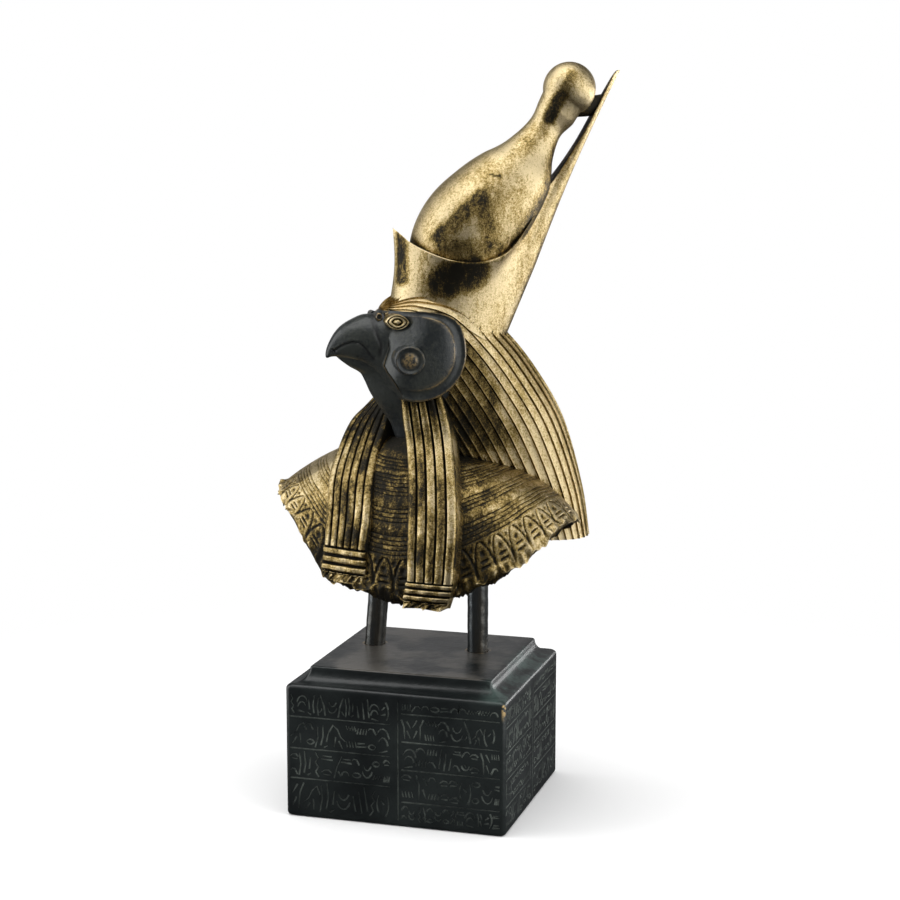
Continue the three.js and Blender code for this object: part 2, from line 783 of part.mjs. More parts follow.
addPiece("plinth", toGeometry(plinth()), darkPatina);
addPiece("rod_left", rodShape(ROD_RADIUS, PLINTH_TOP - ROD_SEAT, ROD_TOP, LEFT_ROD), darkMetal);
addPiece("rod_right", rodShape(ROD_RADIUS, PLINTH_TOP - ROD_SEAT, ROD_TOP, RIGHT_ROD), darkMetal);
addPiece("bust", toGeometry(bust()), gilt);

export default group;
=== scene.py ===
# %% [markdown]
# # A gilt falcon-headed bust on a plinth
# The real object is one cast bust, finished in antique gilt with a dark face, which two metal rods
# hold over a dark plinth. The solids of the model are already here as a frame, so the first step is
# to load it. Everything after that is made in the same place and at the same size, in metres.

# %% Load the frame
import math

import bmesh
import bpy
import numpy as np
from mathutils.bvhtree import BVHTree
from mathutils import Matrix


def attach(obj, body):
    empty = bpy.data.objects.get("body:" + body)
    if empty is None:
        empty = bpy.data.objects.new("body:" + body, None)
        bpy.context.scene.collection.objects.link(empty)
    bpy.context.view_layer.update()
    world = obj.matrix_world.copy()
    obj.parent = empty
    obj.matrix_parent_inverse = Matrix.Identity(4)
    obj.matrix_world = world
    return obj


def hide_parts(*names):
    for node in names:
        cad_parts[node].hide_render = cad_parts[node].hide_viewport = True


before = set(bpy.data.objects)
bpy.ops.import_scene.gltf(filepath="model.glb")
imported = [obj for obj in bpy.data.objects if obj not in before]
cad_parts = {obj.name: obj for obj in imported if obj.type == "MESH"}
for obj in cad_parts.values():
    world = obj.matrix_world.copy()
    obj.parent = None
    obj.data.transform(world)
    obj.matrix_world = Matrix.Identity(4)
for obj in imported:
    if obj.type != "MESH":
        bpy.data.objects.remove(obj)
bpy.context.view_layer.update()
print("frame nodes:", sorted(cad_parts))

# %% [markdown]
# ## Curves and frames
# A figure's free form is easiest to draw as rows of numbers with a smooth curve through them: each
# row is one station, and a spline gives everything between. The head looks to one side and the chest
# to the front, so each has its own small frame of forward, sideways and up, turned about the upright
# axis. All of these sizes are in millimetres and become metres once, when a mesh is made.

# %% Smooth curves through rows
MM = 0.001
PLINTH_TOP = 84.4
BUST_FLOOR = PLINTH_TOP + 27.6


def through(rows, t):
    rows = np.asarray(rows, float)
    last = len(rows) - 1
    place = np.clip(np.asarray(t, float), 0, 1) * last
    i = np.minimum(place.astype(int), last - 1)
    s = (place - i)[..., None]
    b, c = rows[i], rows[i + 1]
    a = np.where((i > 0)[..., None], rows[np.maximum(i - 1, 0)], 2 * b - c)
    d = np.where((i + 2 <= last)[..., None], rows[np.minimum(i + 2, last)], 2 * c - b)
    return b + 0.5 * s * (c - a + s * (2 * a - 5 * b + 4 * c - d + s * (3 * (b - c) + d - a)))


def mix(a, b, share):
    return a + (b - a) * share


def turns(count):
    """Angles once round. The last is left out, as it would repeat the first."""
    return np.linspace(0, 2 * np.pi, count, endpoint=False)


def smooth(value, low, high):
    share = np.clip((value - low) / (high - low), 0, 1)
    return share * share * (3 - 2 * share)


print("a quarter of the way through three rows:", through([(0, 0), (10, 4), (20, 0)], 0.25))

# %% The frames of the head and of the chest
# Where each frame stands on the plinth, and its turn in degrees
HEAD = (12, 0, 32)
CHEST = (1.5, 2.5, 76)


def turned(x, y, yaw):
    cos, sin = math.cos(math.radians(yaw)), math.sin(math.radians(yaw))

    def point(f, n, z):
        f, n, z = np.broadcast_arrays(f, n, z)
        return np.stack([x - cos * f + sin * n, y - sin * f - cos * n, z + 0.0], axis=-1)

    return point


head_point = turned(*HEAD)
chest_point = turned(*CHEST)
HEAD_SIDE = head_point(0, 1, 0) - head_point(0, 0, 0)


def mirror_in_head(points):
    distance = (points - head_point(0, 0, 0)) @ HEAD_SIDE
    return points - 2 * distance[..., None] * HEAD_SIDE


print("beak tip drawn at", np.round(head_point(67.3, 0, 147) + [0, 0, BUST_FLOOR], 1))

# %% [markdown]
# ## From rings to closed skins
# Every form of the bust is a stack of rings with the same number of points. A skin over the stack,
# closed at both ends, is a solid that can be joined to the others. Three numbers travel with each
# point: how deep it lies in a cut, how much gold has been rubbed on it (on the lobe's inner rim a
# painted highlight), and how dark it is, from patina and from painted shade and painted reflections.
# The materials read them later, which keeps the patina and the painted shade tied to the carving.

# %% Closed skins over rings
GILT, DARK = 0, 1


def ends_closed(rows, count):
    """Strips that cross from one half of the first and of the last ring to the other."""
    faces = []
    for start in (0, (rows - 1) * count):
        for c in range((count - 2 + 1) // 2):
            a, b, e, d = c, c + 1, count - 2 - c, count - 1 - c
            corners = [a, b, e, d] if e > b else [a, b, d]
            faces.append([start + k for k in (corners if start else corners[::-1])])
    return faces


def signed_volume(points, faces):
    total = 0.0
    for face in faces:
        corners = points[face]
        for k in range(1, len(face) - 1):
            total += corners[0] @ np.cross(corners[k], corners[k + 1])
    return total


def solid(name, points, faces, finishes, index=0):
    """An object from points in millimetres, with one of its finishes on every face."""
    mesh = bpy.data.meshes.new(name)
    mesh.from_pydata((points * MM).tolist(), [], faces)
    for entry in finishes:
        mesh.materials.append(entry)
    mesh.polygons.foreach_set("material_index", [index] * len(faces))
    piece = bpy.data.objects.new(name, mesh)
    bpy.context.scene.collection.objects.link(piece)
    return piece


def form(name, rings, finish=GILT, cut=0, rub=0, shade=0, drop=BUST_FLOOR):
    rows, count = rings.shape[:2]
    points = rings.reshape(-1, 3) + [0, 0, drop]
    r, c = np.meshgrid(np.arange(rows - 1), np.arange(count), indexing="ij")
    a, b = r * count + c, r * count + (c + 1) % count
    sides = np.stack([a, b, b + count, a + count], axis=-1).reshape(-1, 4).tolist()
    faces = sides + ends_closed(rows, count)
    if signed_volume(points - points.mean(axis=0), faces[:: max(1, len(faces) // 4000)]) < 0:
        faces = [face[::-1] for face in faces]
    piece = solid(name, points, faces, (gilt, dark), finish)
    for label, values in (("cut", cut), ("rub", rub), ("shade", shade), ("made", 1)):
        numbers = np.broadcast_to(values, (rows, count)).astype(np.float32).ravel()
        piece.data.attributes.new(label, "FLOAT", "POINT").data.foreach_set("value", numbers)
    return piece


def told(piece):
    """Print how large a piece is, and hand it on."""
    triangles = sum(len(face.vertices) - 2 for face in piece.data.polygons)
    print(piece.name + ":", len(piece.data.vertices), "points,", triangles, "triangles")
    return piece


gilt = bpy.data.materials.new("antique_gilt")
dark = bpy.data.materials.new("dark_face")
print("finishes named:", gilt.name, dark.name)

# %% Joining and cutting solids
SOLVER = "MANIFOLD"


def combine(base, other, operation="UNION"):
    change = base.modifiers.new(operation, "BOOLEAN")
    change.operation = operation
    change.object = other
    change.solver = SOLVER
    graph = bpy.context.evaluated_depsgraph_get()
    result = bpy.data.meshes.new_from_object(base.evaluated_get(graph))
    base.modifiers.clear()
    old = base.data
    base.data = result
    for used in (old, other.data):
        bpy.data.meshes.remove(used)
    return base


def drop_doubled(mesh):
    """Take out pairs of faces on the same points, which a cut can leave behind."""
    sheet = bmesh.new()
    sheet.from_mesh(mesh)
    groups = {}
    for face in sheet.faces:
        groups.setdefault(frozenset(point.index for point in face.verts), []).append(face)
    doubled = [face for group in groups.values() if len(group) > 1 for face in group]
    bmesh.ops.delete(sheet, geom=doubled, context="FACES")
    sheet.to_mesh(mesh)
    sheet.free()
    return len(doubled)


print("solids are joined and cut by the solver", SOLVER)

# %% [markdown]
# ## The double crown
# The inner crown is a tall bowling-pin form with a round bulb, and it leans back. Round sections
# along a leaning spine give it. The outer crown is a band that stands on the wig, rises to a small
# peak in front and runs up to a long thin blade behind. Its foot is an oval and its rim is a curve in
# space, so the wall is drawn between the two, and a second, smaller stack is cut out of the middle.

# %% Inner crown
# Forward, up and radius of each round section, and then of the bulb
WHITE_CROWN = [
    (-3, 176, 21),
    (-6.5, 196, 27.5),
    (-13.5, 212, 29),
    (-26.5, 227.5, 26.7),
    (-41, 243.7, 21),
    (-50, 257.5, 13.2),
    (-57.5, 269, 9.7),
    (-63.7, 277.5, 11.5),
]
BULB = (-71.5, 290.7, 14.7)
CROWN_STATIONS, BULB_ROWS, CROWN_SIDES = 90, 34, 96


def round_rings(spine_f, spine_z, radius, lean):
    angle = turns(CROWN_SIDES)
    across = radius[:, None] * np.cos(angle)
    f = spine_f[:, None] + across * np.cos(lean)[:, None]
    z = spine_z[:, None] + across * np.sin(lean)[:, None]
    return head_point(f, radius[:, None] * np.sin(angle), z)


def inner_crown():
    t = np.linspace(0, 1, CROWN_STATIONS)
    f, z, radius = through(WHITE_CROWN, t).T
    before, after = through(WHITE_CROWN, t - 0.02).T, through(WHITE_CROWN, t + 0.02).T
    lean = np.arctan2(before[0] - after[0], after[1] - before[1])
    tilt = math.atan2(WHITE_CROWN[-1][0] - BULB[0], BULB[1] - WHITE_CROWN[-1][1])
    latitude = np.radians(np.linspace(-36, 88, BULB_ROWS))
    along = BULB[2] * np.sin(latitude)
    ball = round_rings(
        BULB[0] - along * math.sin(tilt),
        BULB[1] + along * math.cos(tilt),
        BULB[2] * np.cos(latitude),
        np.full(BULB_ROWS, tilt),
    )
    # Painted shade down the back of the crown's stem
    at_back = smooth(-np.cos(turns(CROWN_SIDES)), 0.3, 0.75)
    along = smooth(t, 0.1, 0.3) * smooth(-t, -0.9, -0.7)
    shade = np.concatenate([0.85 * along[:, None] * at_back, np.zeros((BULB_ROWS, CROWN_SIDES))])
    return form("inner_crown", np.concatenate([round_rings(f, z, radius, lean), ball]), shade=shade)


inner = told(inner_crown())

# %% Outer crown
# Forward, sideways and up along one half of the rim, from the peak to the tip of the blade
CROWN_RIM = [
    (30, 0, 215),
    (26.8, 7, 211.5),
    (22.3, 14, 206.8),
    (14, 23.5, 202),
    (4, 29, 198.5),
    (-7, 31, 197.2),
    (-18.4, 29.8, 198.6),
    (-30, 26, 203.5),
    (-42.9, 19, 217.3),
    (-54, 11.2, 233.6),
    (-62.9, 5.6, 243),
    (-76.4, 3.7, 262.2),
    (-88.9, 3, 284),
    (-98, 2.3, 299.2),
    (-101.3, 0, 301.1),
]
CROWN_WALL = 3.2
CROWN_WAIST = 0.04
CROWN_BOW = 2.0
HOLLOW_STATIONS = 10
HOLLOW_BACK = (-56, 0, 237)
CROWN_FOOT = {"f": -2.5, "length": 33, "width": 27.5, "z": 167.5, "rise": 10.5}


def crown_stack(rim, inset, low, high, lip=0.0):
    share = np.linspace(0, 1, CROWN_STATIONS)
    end = through(rim, share)
    end[:, 1] = np.maximum(end[:, 1], 0)
    end[[0, -1], 1] = 0
    angle = np.pi * share
    start = np.stack([
        CROWN_FOOT["f"] + (CROWN_FOOT["length"] - inset) * np.cos(angle),
        (CROWN_FOOT["width"] - inset) * np.sin(angle),
        CROWN_FOOT["z"] + CROWN_FOOT["rise"] * np.cos(angle),
    ], axis=-1)
    rings = []
    for t in np.concatenate([np.linspace(low, high - 0.03, 26), [high - 0.012, high]]):
        waist = 1 - CROWN_WAIST * math.sin(math.pi * min(t, 1)) * (1 - share)
        half = mix(start, end, t)
        half[:, :2] *= waist[:, None]
        half[:, 0] += CROWN_BOW * math.sin(math.pi * min(max((t - 0.25) / 0.75, 0), 1)) * share**4
        if t > high - 0.02:
            half[:, 1] = np.maximum(half[:, 1] - lip * (1 if t == high else 0.3), 0)
        far = half[1:-1][::-1] * [1, -1, 1]
        rings.append(head_point(*np.concatenate([half, far]).T))
    return np.array(rings)


def inset_rim():
    rows = []
    for i in range(HOLLOW_STATIONS):
        f, n, z = CROWN_RIM[i]
        before, after = CROWN_RIM[max(i - 1, 0)], CROWN_RIM[min(i + 1, HOLLOW_STATIONS - 1)]
        df, dn = after[0] - before[0], after[1] - before[1]
        length = math.hypot(df, dn)
        inward = (-1, 0) if i == 0 else (-dn / length, df / length)
        rows.append((f + CROWN_WALL * inward[0], max(n + CROWN_WALL * inward[1], 0), z))
    return rows + [HOLLOW_BACK]


def outer_crown():
    skin = crown_stack(CROWN_RIM, 0, -0.1, 1, lip=0.7)
    share = np.linspace(0, 1, CROWN_STATIONS)
    round_it = np.concatenate([share, share[1:-1][::-1]])
    down = np.linspace(0, 1, len(skin))[:, None]
    # Painted shade on the blade's top face, a painted dark reflection low along the crown's back edge, and
    # the blade a little darker all over
    shade = 0.5 * smooth(round_it, 0.6, 0.68) * (down > 0.98)
    shade = np.maximum(shade, 0.55 * smooth(round_it, 0.8, 0.9) * smooth(-down, -0.8, -0.5))
    shade = np.maximum(shade, 0.16 * smooth(round_it, 0.6, 0.75))
    rub = 0.9 * smooth(-round_it, -0.68, -0.6) * (down > 0.98)
    rub = rub + 0.5 * smooth(round_it, 0.6, 0.68) * (abs(down - 0.97) < 0.02)
    body = form("outer_crown", skin, rub=rub, shade=shade)
    # The inside of the hollow is darkened as painted shade
    hollow = form("crown_hollow", crown_stack(inset_rim(), CROWN_WALL, 0.5, 1.12), shade=0.45)
    return combine(body, hollow, "DIFFERENCE")


outer = told(outer_crown())

# %% [markdown]
# The bulb of the inner crown leans on the blade, and a small web of metal joins them there. It is a
# short stack of ovals across the gap, wider at its two ends, as a fillet would be.

# %% Web between bulb and blade
# Forward, up and half width of each oval
WEB_ROWS = [(-74, 280.5, 6), (-80, 281, 3.8), (-84.5, 281.3, 2.4), (-88.6, 282, 2)]
WEB_HEIGHT = 5.9


def crown_web():
    angle = turns(32)
    rings = []
    for f, z, width in through(WEB_ROWS, np.linspace(0, 1, 16)):
        up = WEB_HEIGHT * np.sin(angle)
        rings.append(head_point(f - 0.45 * up, width * np.cos(angle), z + up))
    # The web is darkened all over as painted shade in the gap between bulb and blade
    return form("crown_web", np.array(rings), cut=0.35, shade=0.8)


web = told(crown_web())

# %% [markdown]
# ## The wig
# Each row of numbers is one line from the wig's inner edge to the ridge down the back, drawn as a
# curve with four control points. The strands run across these lines, from the brow to the hem. The
# real ones are broad and nearly flat, with narrow dark cuts between them, so the cut is a narrow bell
# at each strand's edge. The lobe, the eye and the face stay free through a window on either side.

# %% Strand profile and wig surface
STRANDS = 18
STRAND_SPREAD = 1.3
STRAND_CUT = 1.3
WIG_STEPS = 84
# The inner edge in forward, sideways and up, the bulge to the side, and the ridge behind in the same
# three
WIG_ROWS = [
    (37.5, 5, 168, 6, 36.5, 4, 171.5),
    (38, 13, 160, 18, 29, 15, 176.5),
    (37, 17, 151, 27, 15, 36, 181.5),
    (34, 17, 141, 29, -9, 43, 177),
    (28, 17, 129, 29, -34, 36, 155.5),
    (17, 18, 112, 27, -52.5, 31, 132.5),
    (4, 19, 92, 25, -67, 35, 106.5),
    (-14, 21, 64, 26, -77.5, 41, 70),
    (-26, 23, 42, 28, -81.5, 45, 40.5),
]
STRAND_PLACES = (0, 0.05, 0.11, 0.2, 0.5, 0.8, 0.89, 0.95)


def strand_cut(place, width=0.058):
    """Share of the full cut at a place across a strand, from 0 to 1."""
    edge = np.minimum(place, 1 - place)
    return np.exp(-((edge / width) ** 2))


def wig_surface(u, v):
    f0, n0, z0, side, f3, width, z3 = np.moveaxis(through(WIG_ROWS, v), -1, 0)
    w = 1 - u
    a, b, c, d = w**3, 3 * w * w * u, 3 * w * u * u, u**3
    f = a * f0 + b * mix(f0, f3, 0.3) + (c + d) * f3
    n = a * n0 + b * side + c * width
    z = a * z0 + b * mix(z0, z3, 0.3) + (c + d) * z3
    return head_point(f, n, z)


def normal_of(surface, u, v, step=0.01):
    along = surface(u + step, v) - surface(u - step, v)
    across = surface(u, v + step) - surface(u, v - step)
    normal = np.cross(along, across)
    return normal / np.maximum(np.linalg.norm(normal, axis=-1, keepdims=True), 1e-9)


def strand_rub(place):
    """Gold rubbed on the shoulders of each cut, from 0 to 1."""
    return np.exp(-(((np.minimum(place, 1 - place) - 0.115) / 0.03) ** 2))


def wig():
    places = np.array([(i + p) / STRANDS for i in range(STRANDS) for p in STRAND_PLACES] + [1.0])
    place, v = np.meshgrid(places, np.linspace(0, 1, WIG_STEPS) ** 1.2, indexing="xy")
    across = (place * STRANDS) % 1
    u = np.clip(place**STRAND_SPREAD, 0.001, 1)
    share = strand_cut(across) * np.minimum(1, 0.35 + 8 * v)
    dome = 0.07 * (1 - np.sin(np.pi * across))
    near = wig_surface(u, v) - normal_of(wig_surface, u, v) * (STRAND_CUT * share + dome)[..., None]
    near[:, -1] = wig_surface(np.ones(WIG_STEPS), v[:, -1])
    far = mirror_in_head(near[:, :-1])[:, ::-1]
    # Painted shade on the wig in the recess beside and below the lobe
    by_face = 0.25 * smooth(-place, -0.4, -0.12) * smooth(v, 0.3, 0.45)
    cut, rub, shade = (
        np.concatenate([row, row[:, :-1][:, ::-1]], axis=1) for row in (share, strand_rub(across), by_face)
    )
    return form("wig", np.concatenate([near, far], axis=1), cut=cut, rub=rub, shade=shade)


hair = told(wig())

# %% Window for the face
LOBE = {"f": 23.9, "z": 148.4, "radius": 26.6, "front": 16, "sink": 0.26, "eye_sink": 0.92}
WINDOW = {"radius": 26, "rise": 22.2, "front": 36, "low": 10, "high": 70}


def face_window(side):
    angle = turns(90)
    cos, up = np.cos(angle), WINDOW["radius"] * np.sin(angle)
    forward = np.where(cos > 0, WINDOW["front"] * np.abs(cos) ** 0.4, WINDOW["radius"] * cos)
    rings = [
        head_point(LOBE["f"] + forward, side * n, LOBE["z"] + np.minimum(up, WINDOW["rise"]))
        for n in (WINDOW["low"], WINDOW["high"])
    ]
    return form("face_window", np.array(rings), cut=0.5)


for side in (1, -1):
    combine(hair, face_window(side), "DIFFERENCE")
told(hair)

# %% [markdown]
# ## The face
# The head, with its upper beak, is a row of ovals from the back of the skull to the hooked tip, and
# the throat with the lower beak is a second stack that rises into it. The fine lines, such as the
# mouth and the ridge behind the beak, are pressed into the skin: each point near a line moves in or
# out by a soft bell of the line's width.

# %% Lines pressed into a skin


def distance_to_line(points, line):
    """Distance of flat points to a broken line of flat points."""
    best = np.full(points.shape[:-1], 1e9)
    for a, b in zip(np.array(line[:-1], float), np.array(line[1:], float)):
        span = b - a
        share = np.clip(((points - a) @ span) / (span @ span), 0, 1)
        best = np.minimum(best, np.linalg.norm(points - a - share[..., None] * span, axis=-1))
    return best


def bell(distance, width):
    return np.exp(-((distance / width) ** 2))


# Lines on the side of the face, in forward and up: points, width, and depth, in if above zero
FACE_LINES = [
    ([(65, 147.6), (62, 150.4), (58.5, 152.4), (55, 153.6), (51.5, 153), (48.5, 150.3), (46, 146.8),
      (43.4, 143.8)], 0.7, 0.9),
    ([(64.5, 149.6), (60, 153.2), (56, 154.9), (51.5, 154.8), (48, 152.2)], 0.7, -0.35),
    ([(41.6, 169), (43.2, 164), (42.6, 158), (40.4, 152), (40.8, 147)], 1.1, 0.8),
    ([(63.6, 148), (65.2, 149.2)], 0.6, 0.8),
    ([(52.6, 163.4), (55.4, 162.2)], 0.5, 0.45),
]


def pressed(f, z):
    spot = np.stack(np.broadcast_arrays(f, z), axis=-1)
    return sum(size * bell(distance_to_line(spot, line), width) for line, width, size in FACE_LINES)


print("lines pressed into the face:", len(FACE_LINES))

# %% Head and throat
# Forward, top, bottom and half width of each oval
HEAD_ROWS = [
    (-12, 166, 108, 20),
    (4, 168, 106, 25),
    (18, 169, 110, 25.5),
    (29, 170.5, 118, 22),
    (36, 170.5, 126, 18),
    (41, 168.3, 134, 15.8),
    (47.5, 167.6, 140, 13.2),
    (54.3, 164.8, 142.8, 10.5),
    (59, 162, 144.2, 8),
    (62.5, 158.6, 144.9, 5.8),
    (65.3, 154.4, 144.8, 4),
    (67.3, 150.2, 144.2, 2.4),
    (68.1, 147.4, 144.6, 1),
]
# Up, front, back and half width of each oval
THROAT_ROWS = [
    (84, 28, -26, 16),
    (94, 28, -26, 16),
    (106, 31.5, -26, 16.5),
    (113, 36, -24, 17),
    (119.4, 40.3, -20, 18.5),
    (125, 43.6, -16, 18),
    (130.8, 46.2, -12, 16.5),
    (135.5, 49, -8, 15),
    (139, 54.8, -4, 12),
    (142.5, 59.6, 0, 10),
    (144.8, 62.2, 4, 8.5),
]


def head_shell():
    f, top, bottom, width = (row[:, None] for row in through(HEAD_ROWS, np.linspace(0, 1, 110)).T)
    angle = turns(90)
    side = np.sign(np.cos(angle)) * np.abs(np.cos(angle)) ** 0.85
    z = mix(bottom, top, 0.5 + 0.5 * np.sin(angle))
    depth = pressed(f, z)
    n = side * np.maximum(width - depth, 0.2)
    return form("head", head_point(f, n, z), DARK, cut=np.clip(depth, 0, 1))


def throat():
    z, front, back, width = (row[:, None] for row in through(THROAT_ROWS, np.linspace(0, 1, 50)).T)
    angle = turns(64)
    narrow = 1 - 0.35 * np.maximum(np.cos(angle), 0) ** 2
    f = mix(back, front, 0.5 + 0.5 * np.cos(angle))
    return form("throat", head_point(f, width * narrow * np.sin(angle), z + 0 * f), DARK)


skull, neck = told(head_shell()), told(throat())

# %% [markdown]
# The cheek lobe is a thick disc that lies against the head. It stands out behind and sinks into the
# face towards the beak and the eye. A raised rim goes round it, and a small disc with its own rim
# sits on it. The eye is an almond with a thick outline, leaning in with the face.

# %% Lobe
EYE = {"f": 32.5, "z": 164.9, "n": 20.4, "lean": 0.68}
LOBE_BACK = 0.9
LOBE_LIFT = 3.0
LOBE_TOP, LOBE_FLAT = 22.8, 1.15
INNER_DISC_FORWARD = 0.5
# Height above the lobe's centre, and how far forward the lobe reaches there
LOBE_FRONT = ((-27, 6), (-21, 9), (-15, 12.4), (-10.5, 15), (-7.2, 16.2), (-3.9, 15.2), (1.5, 13.4),
              (7, 13.2), (12.4, 14.4), (22, 15.4))
# Share of the size, and distance out from the middle of the head, ring by ring
LOBE_STEPS = [
    (1, 0), (1, 20), (1, 27.4), (0.99, 28.3), (0.972, 29), (0.955, 29.3), (0.935, 29.2), (0.915, 28.9),
    (0.87, 28.9), (0.82, 29.2), (0.785, 29.6), (0.765, 30.4), (0.745, 31.1), (0.72, 31.4), (0.65, 31.9),
    (0.5, 32.5), (0.3, 33), (0.12, 33.2),
]
# Gold rubbed on each of these rings; on the rim of the inner disc (shares 0.765 and 0.745) it is a
# painted highlight
LOBE_GOLD_AND_HIGHLIGHT = (0, 0, 0.5, 1, 0.6, 0.1, 0, 0, 0, 0, 0, 0.15, 0.4, 0.1, 0, 0, 0, 0)
# Rings nearer to the middle of the head than this stay as they are, inside it
LOBE_BASE = 10
# How softly the lobe and the socket of the eye run into each other
SOFT = 3.0


def lobe(side):
    angle = turns(132)
    share, n = (row[:, None] for row in np.array(LOBE_STEPS, float).T)
    behind = smooth(-np.cos(angle), -0.2, 0.7)
    reach = LOBE["radius"] + LOBE_BACK * behind
    up = share * LOBE["radius"] * np.sin(angle)
    flat = LOBE_TOP * np.tanh(up / LOBE_TOP * LOBE_FLAT) / math.tanh(LOBE_FLAT * LOBE["radius"] / LOBE_TOP)
    up = np.where(up > 0, flat, up)
    disc = INNER_DISC_FORWARD * smooth(-share, -0.82, -0.76)
    forward = share * reach * np.cos(angle) + disc
    limit = np.interp(up, *zip(*LOBE_FRONT)) - 2.5 * (1 - share)
    forward = np.where(forward > limit - 2, limit - 2 + 2 * np.tanh((forward - limit + 2) / 2), forward)
    to_eye = np.maximum(0.85 * forward + 0.5 * up, 0) / LOBE["radius"]
    sink = LOBE["sink"] * np.maximum(forward / LOBE["front"], 0) ** 2 + LOBE["eye_sink"] * to_eye**2
    lift = LOBE_LIFT * smooth(-forward, -6, 18) * (n > LOBE_BASE)
    lip = smooth(forward, 7, 13) * smooth(-up, -12, -6) * (share > 0.95) * (n > LOBE_BASE)
    # The gold and the painted highlight lie only on the back half of the lobe
    rub = np.array(LOBE_GOLD_AND_HIGHLIGHT)[:, None] * smooth(-np.cos(angle), -0.3, 0.5)
    rub = rub + 0.8 * lip * smooth(-up, 0, 4) * (share < 0.98)
    out = n * (1 - sink) + lift + lip
    to_eye = np.hypot(LOBE["f"] + forward - EYE["f"], 1.4 * (LOBE["z"] + up - EYE["z"]))
    socket = EYE["n"] - 1.6 - EYE["lean"] * (LOBE["f"] + forward - EYE["f"])
    socket = socket + 0.75 * np.maximum(to_eye - 6, 0)
    softer = -SOFT * np.logaddexp(-out / SOFT, -socket / SOFT)
    out = np.where(n > LOBE_BASE, softer, out)
    rings = head_point(LOBE["f"] + forward, side * out, LOBE["z"] + up)
    return form("lobe", rings, DARK, rub=np.clip(rub, 0, 1))


print("rings of the lobe:", len(LOBE_STEPS))

# %% Small disc, eye and knob


def boss(name, side, place, size, steps, finish, point=1.0, lean=0.0, rub=0, shade=0):
    angle = turns(60)
    lift = np.sign(np.sin(angle)) * np.abs(np.sin(angle)) ** point
    share, n = (row[:, None] for row in np.array(steps, float).T)
    forward = share * size[0] * np.cos(angle)
    rings = head_point(place[0] + forward, side * (n - lean * forward), place[1] + share * size[1] * lift)
    rub, shade = (np.reshape(row, (-1, 1)) * np.ones(len(angle)) for row in (rub, shade))
    return form(name, rings, finish, rub=rub, shade=shade)


# Share of the size and distance out, as for the lobe, and the gold rubbed on each ring
EAR_STEPS = [
    (1, 24), (1, 31), (0.97, 31.9), (0.92, 32.5), (0.86, 32.7), (0.8, 32.5), (0.74, 32), (0.68, 31.6),
    (0.6, 31.5), (0.5, 31.7), (0.42, 32.2), (0.32, 32.6), (0.2, 32.8), (0.08, 32.9),
]
EAR_RUB = (0, 0, 0, 0, 0, 0, 0, 0, 0, 0.15, 0.35, 0.5, 0.5, 0.45)
# Share of the size, distance out, and how dark the patina lies, from the outer lid to the pupil
EYE_STEPS = [
    (1, -8, 0), (1, -1.6, 0.4), (0.985, -0.4, 0), (0.94, 0.3, 0), (0.87, 0.4, 0), (0.82, 0.1, 0.45),
    (0.78, -0.25, 1), (0.74, 0, 0.5), (0.68, 0.55, 0), (0.56, 0.65, 0), (0.48, 0.3, 0.4),
    (0.42, -0.2, 1), (0.36, 0, 0.8), (0.28, 0.3, 0.2), (0.22, 0.5, 0.1), (0.17, 0.8, 0), (0.08, 0.85, 0),
]
# The same for the knob behind the beak, with the gold rubbed on it in the third place
KNOB_STEPS = [
    (1, 2, 0), (1, 9.6, 0.1), (0.92, 10.5, 0.5), (0.75, 10.9, 0.6), (0.6, 10.6, 0.2), (0.5, 10, 0),
    (0.1, 9.9, 0),
]


def face_details(side):
    eye_steps, eye_shade = np.array(EYE_STEPS)[:, :2] + [0, EYE["n"]], np.array(EYE_STEPS)[:, 2]
    knob_steps, knob_rub = np.array(KNOB_STEPS)[:, :2], np.array(KNOB_STEPS)[:, 2]
    ear_steps, eye_place = np.array(EAR_STEPS) + [0, 0.9], (EYE["f"], EYE["z"])
    return [
        lobe(side),
        boss("ear_disc", side, (28.6, 145), (8.2, 8.2), ear_steps, DARK, lean=0.24, rub=EAR_RUB),
        boss("eye", side, eye_place, (5.9, 4.3), eye_steps, GILT, 1.5, EYE["lean"], shade=eye_shade),
        boss("knob", side, (40.4, 167.1), (1.9, 2.2), knob_steps, DARK, rub=knob_rub),
    ]


details = [told(piece) for side in (1, -1) for piece in face_details(side)]

# %% [markdown]
# ## The two straps
# Two bundles of strands hang from the wig over the chest. Each is swept down a curve, with a turn at
# every station. Round ridges run along it, and at its lower end it is bound by three raised bands below
# which the cast is broken off.

# %% Strap
STRAP_PLACES = (0, 0.05, 0.1, 0.16, 0.24, 0.5, 0.76, 0.84, 0.9, 0.95)
STRAP_THICK = 6
STRAP_ROOT = 17
STRAP_BULGE = 1
# Places across the plain back of a strap, from one side to the other
STRAP_BACK = (1, 0.5, 0, -0.5, -1)
SIDE_CUT = 0.25
# Forward, sideways, up, width, and turn in degrees at each station
NEAR_STRAP = [
    (26, 10.2, 128, 22.5, 26),
    (28.5, 15.4, 111, 26, 20),
    (31, 19.1, 98.5, 27, 14),
    (41, 26.8, 80, 28.4, 8),
    (51, 33, 56.5, 29.3, 7),
    (56.5, 35.3, 38, 28.3, 7),
    (58.6, 35.8, 27.5, 27, 8),
    (59.5, 33, 14, 25.5, 8),
]
FAR_STRAP = [
    (1, -20, 128, 27, -50),
    (8, -28, 111.5, 31, -30),
    (16.5, -29.6, 103, 32.5, -18),
    (27.5, -29.3, 90, 31, -10),
    (40, -26.2, 75.5, 31.5, -6),
    (50, -21.7, 57, 30.5, -5),
    (55.5, -20.3, 40, 29, -5),
    (57.5, -20, 22.5, 31.5, -5),
]
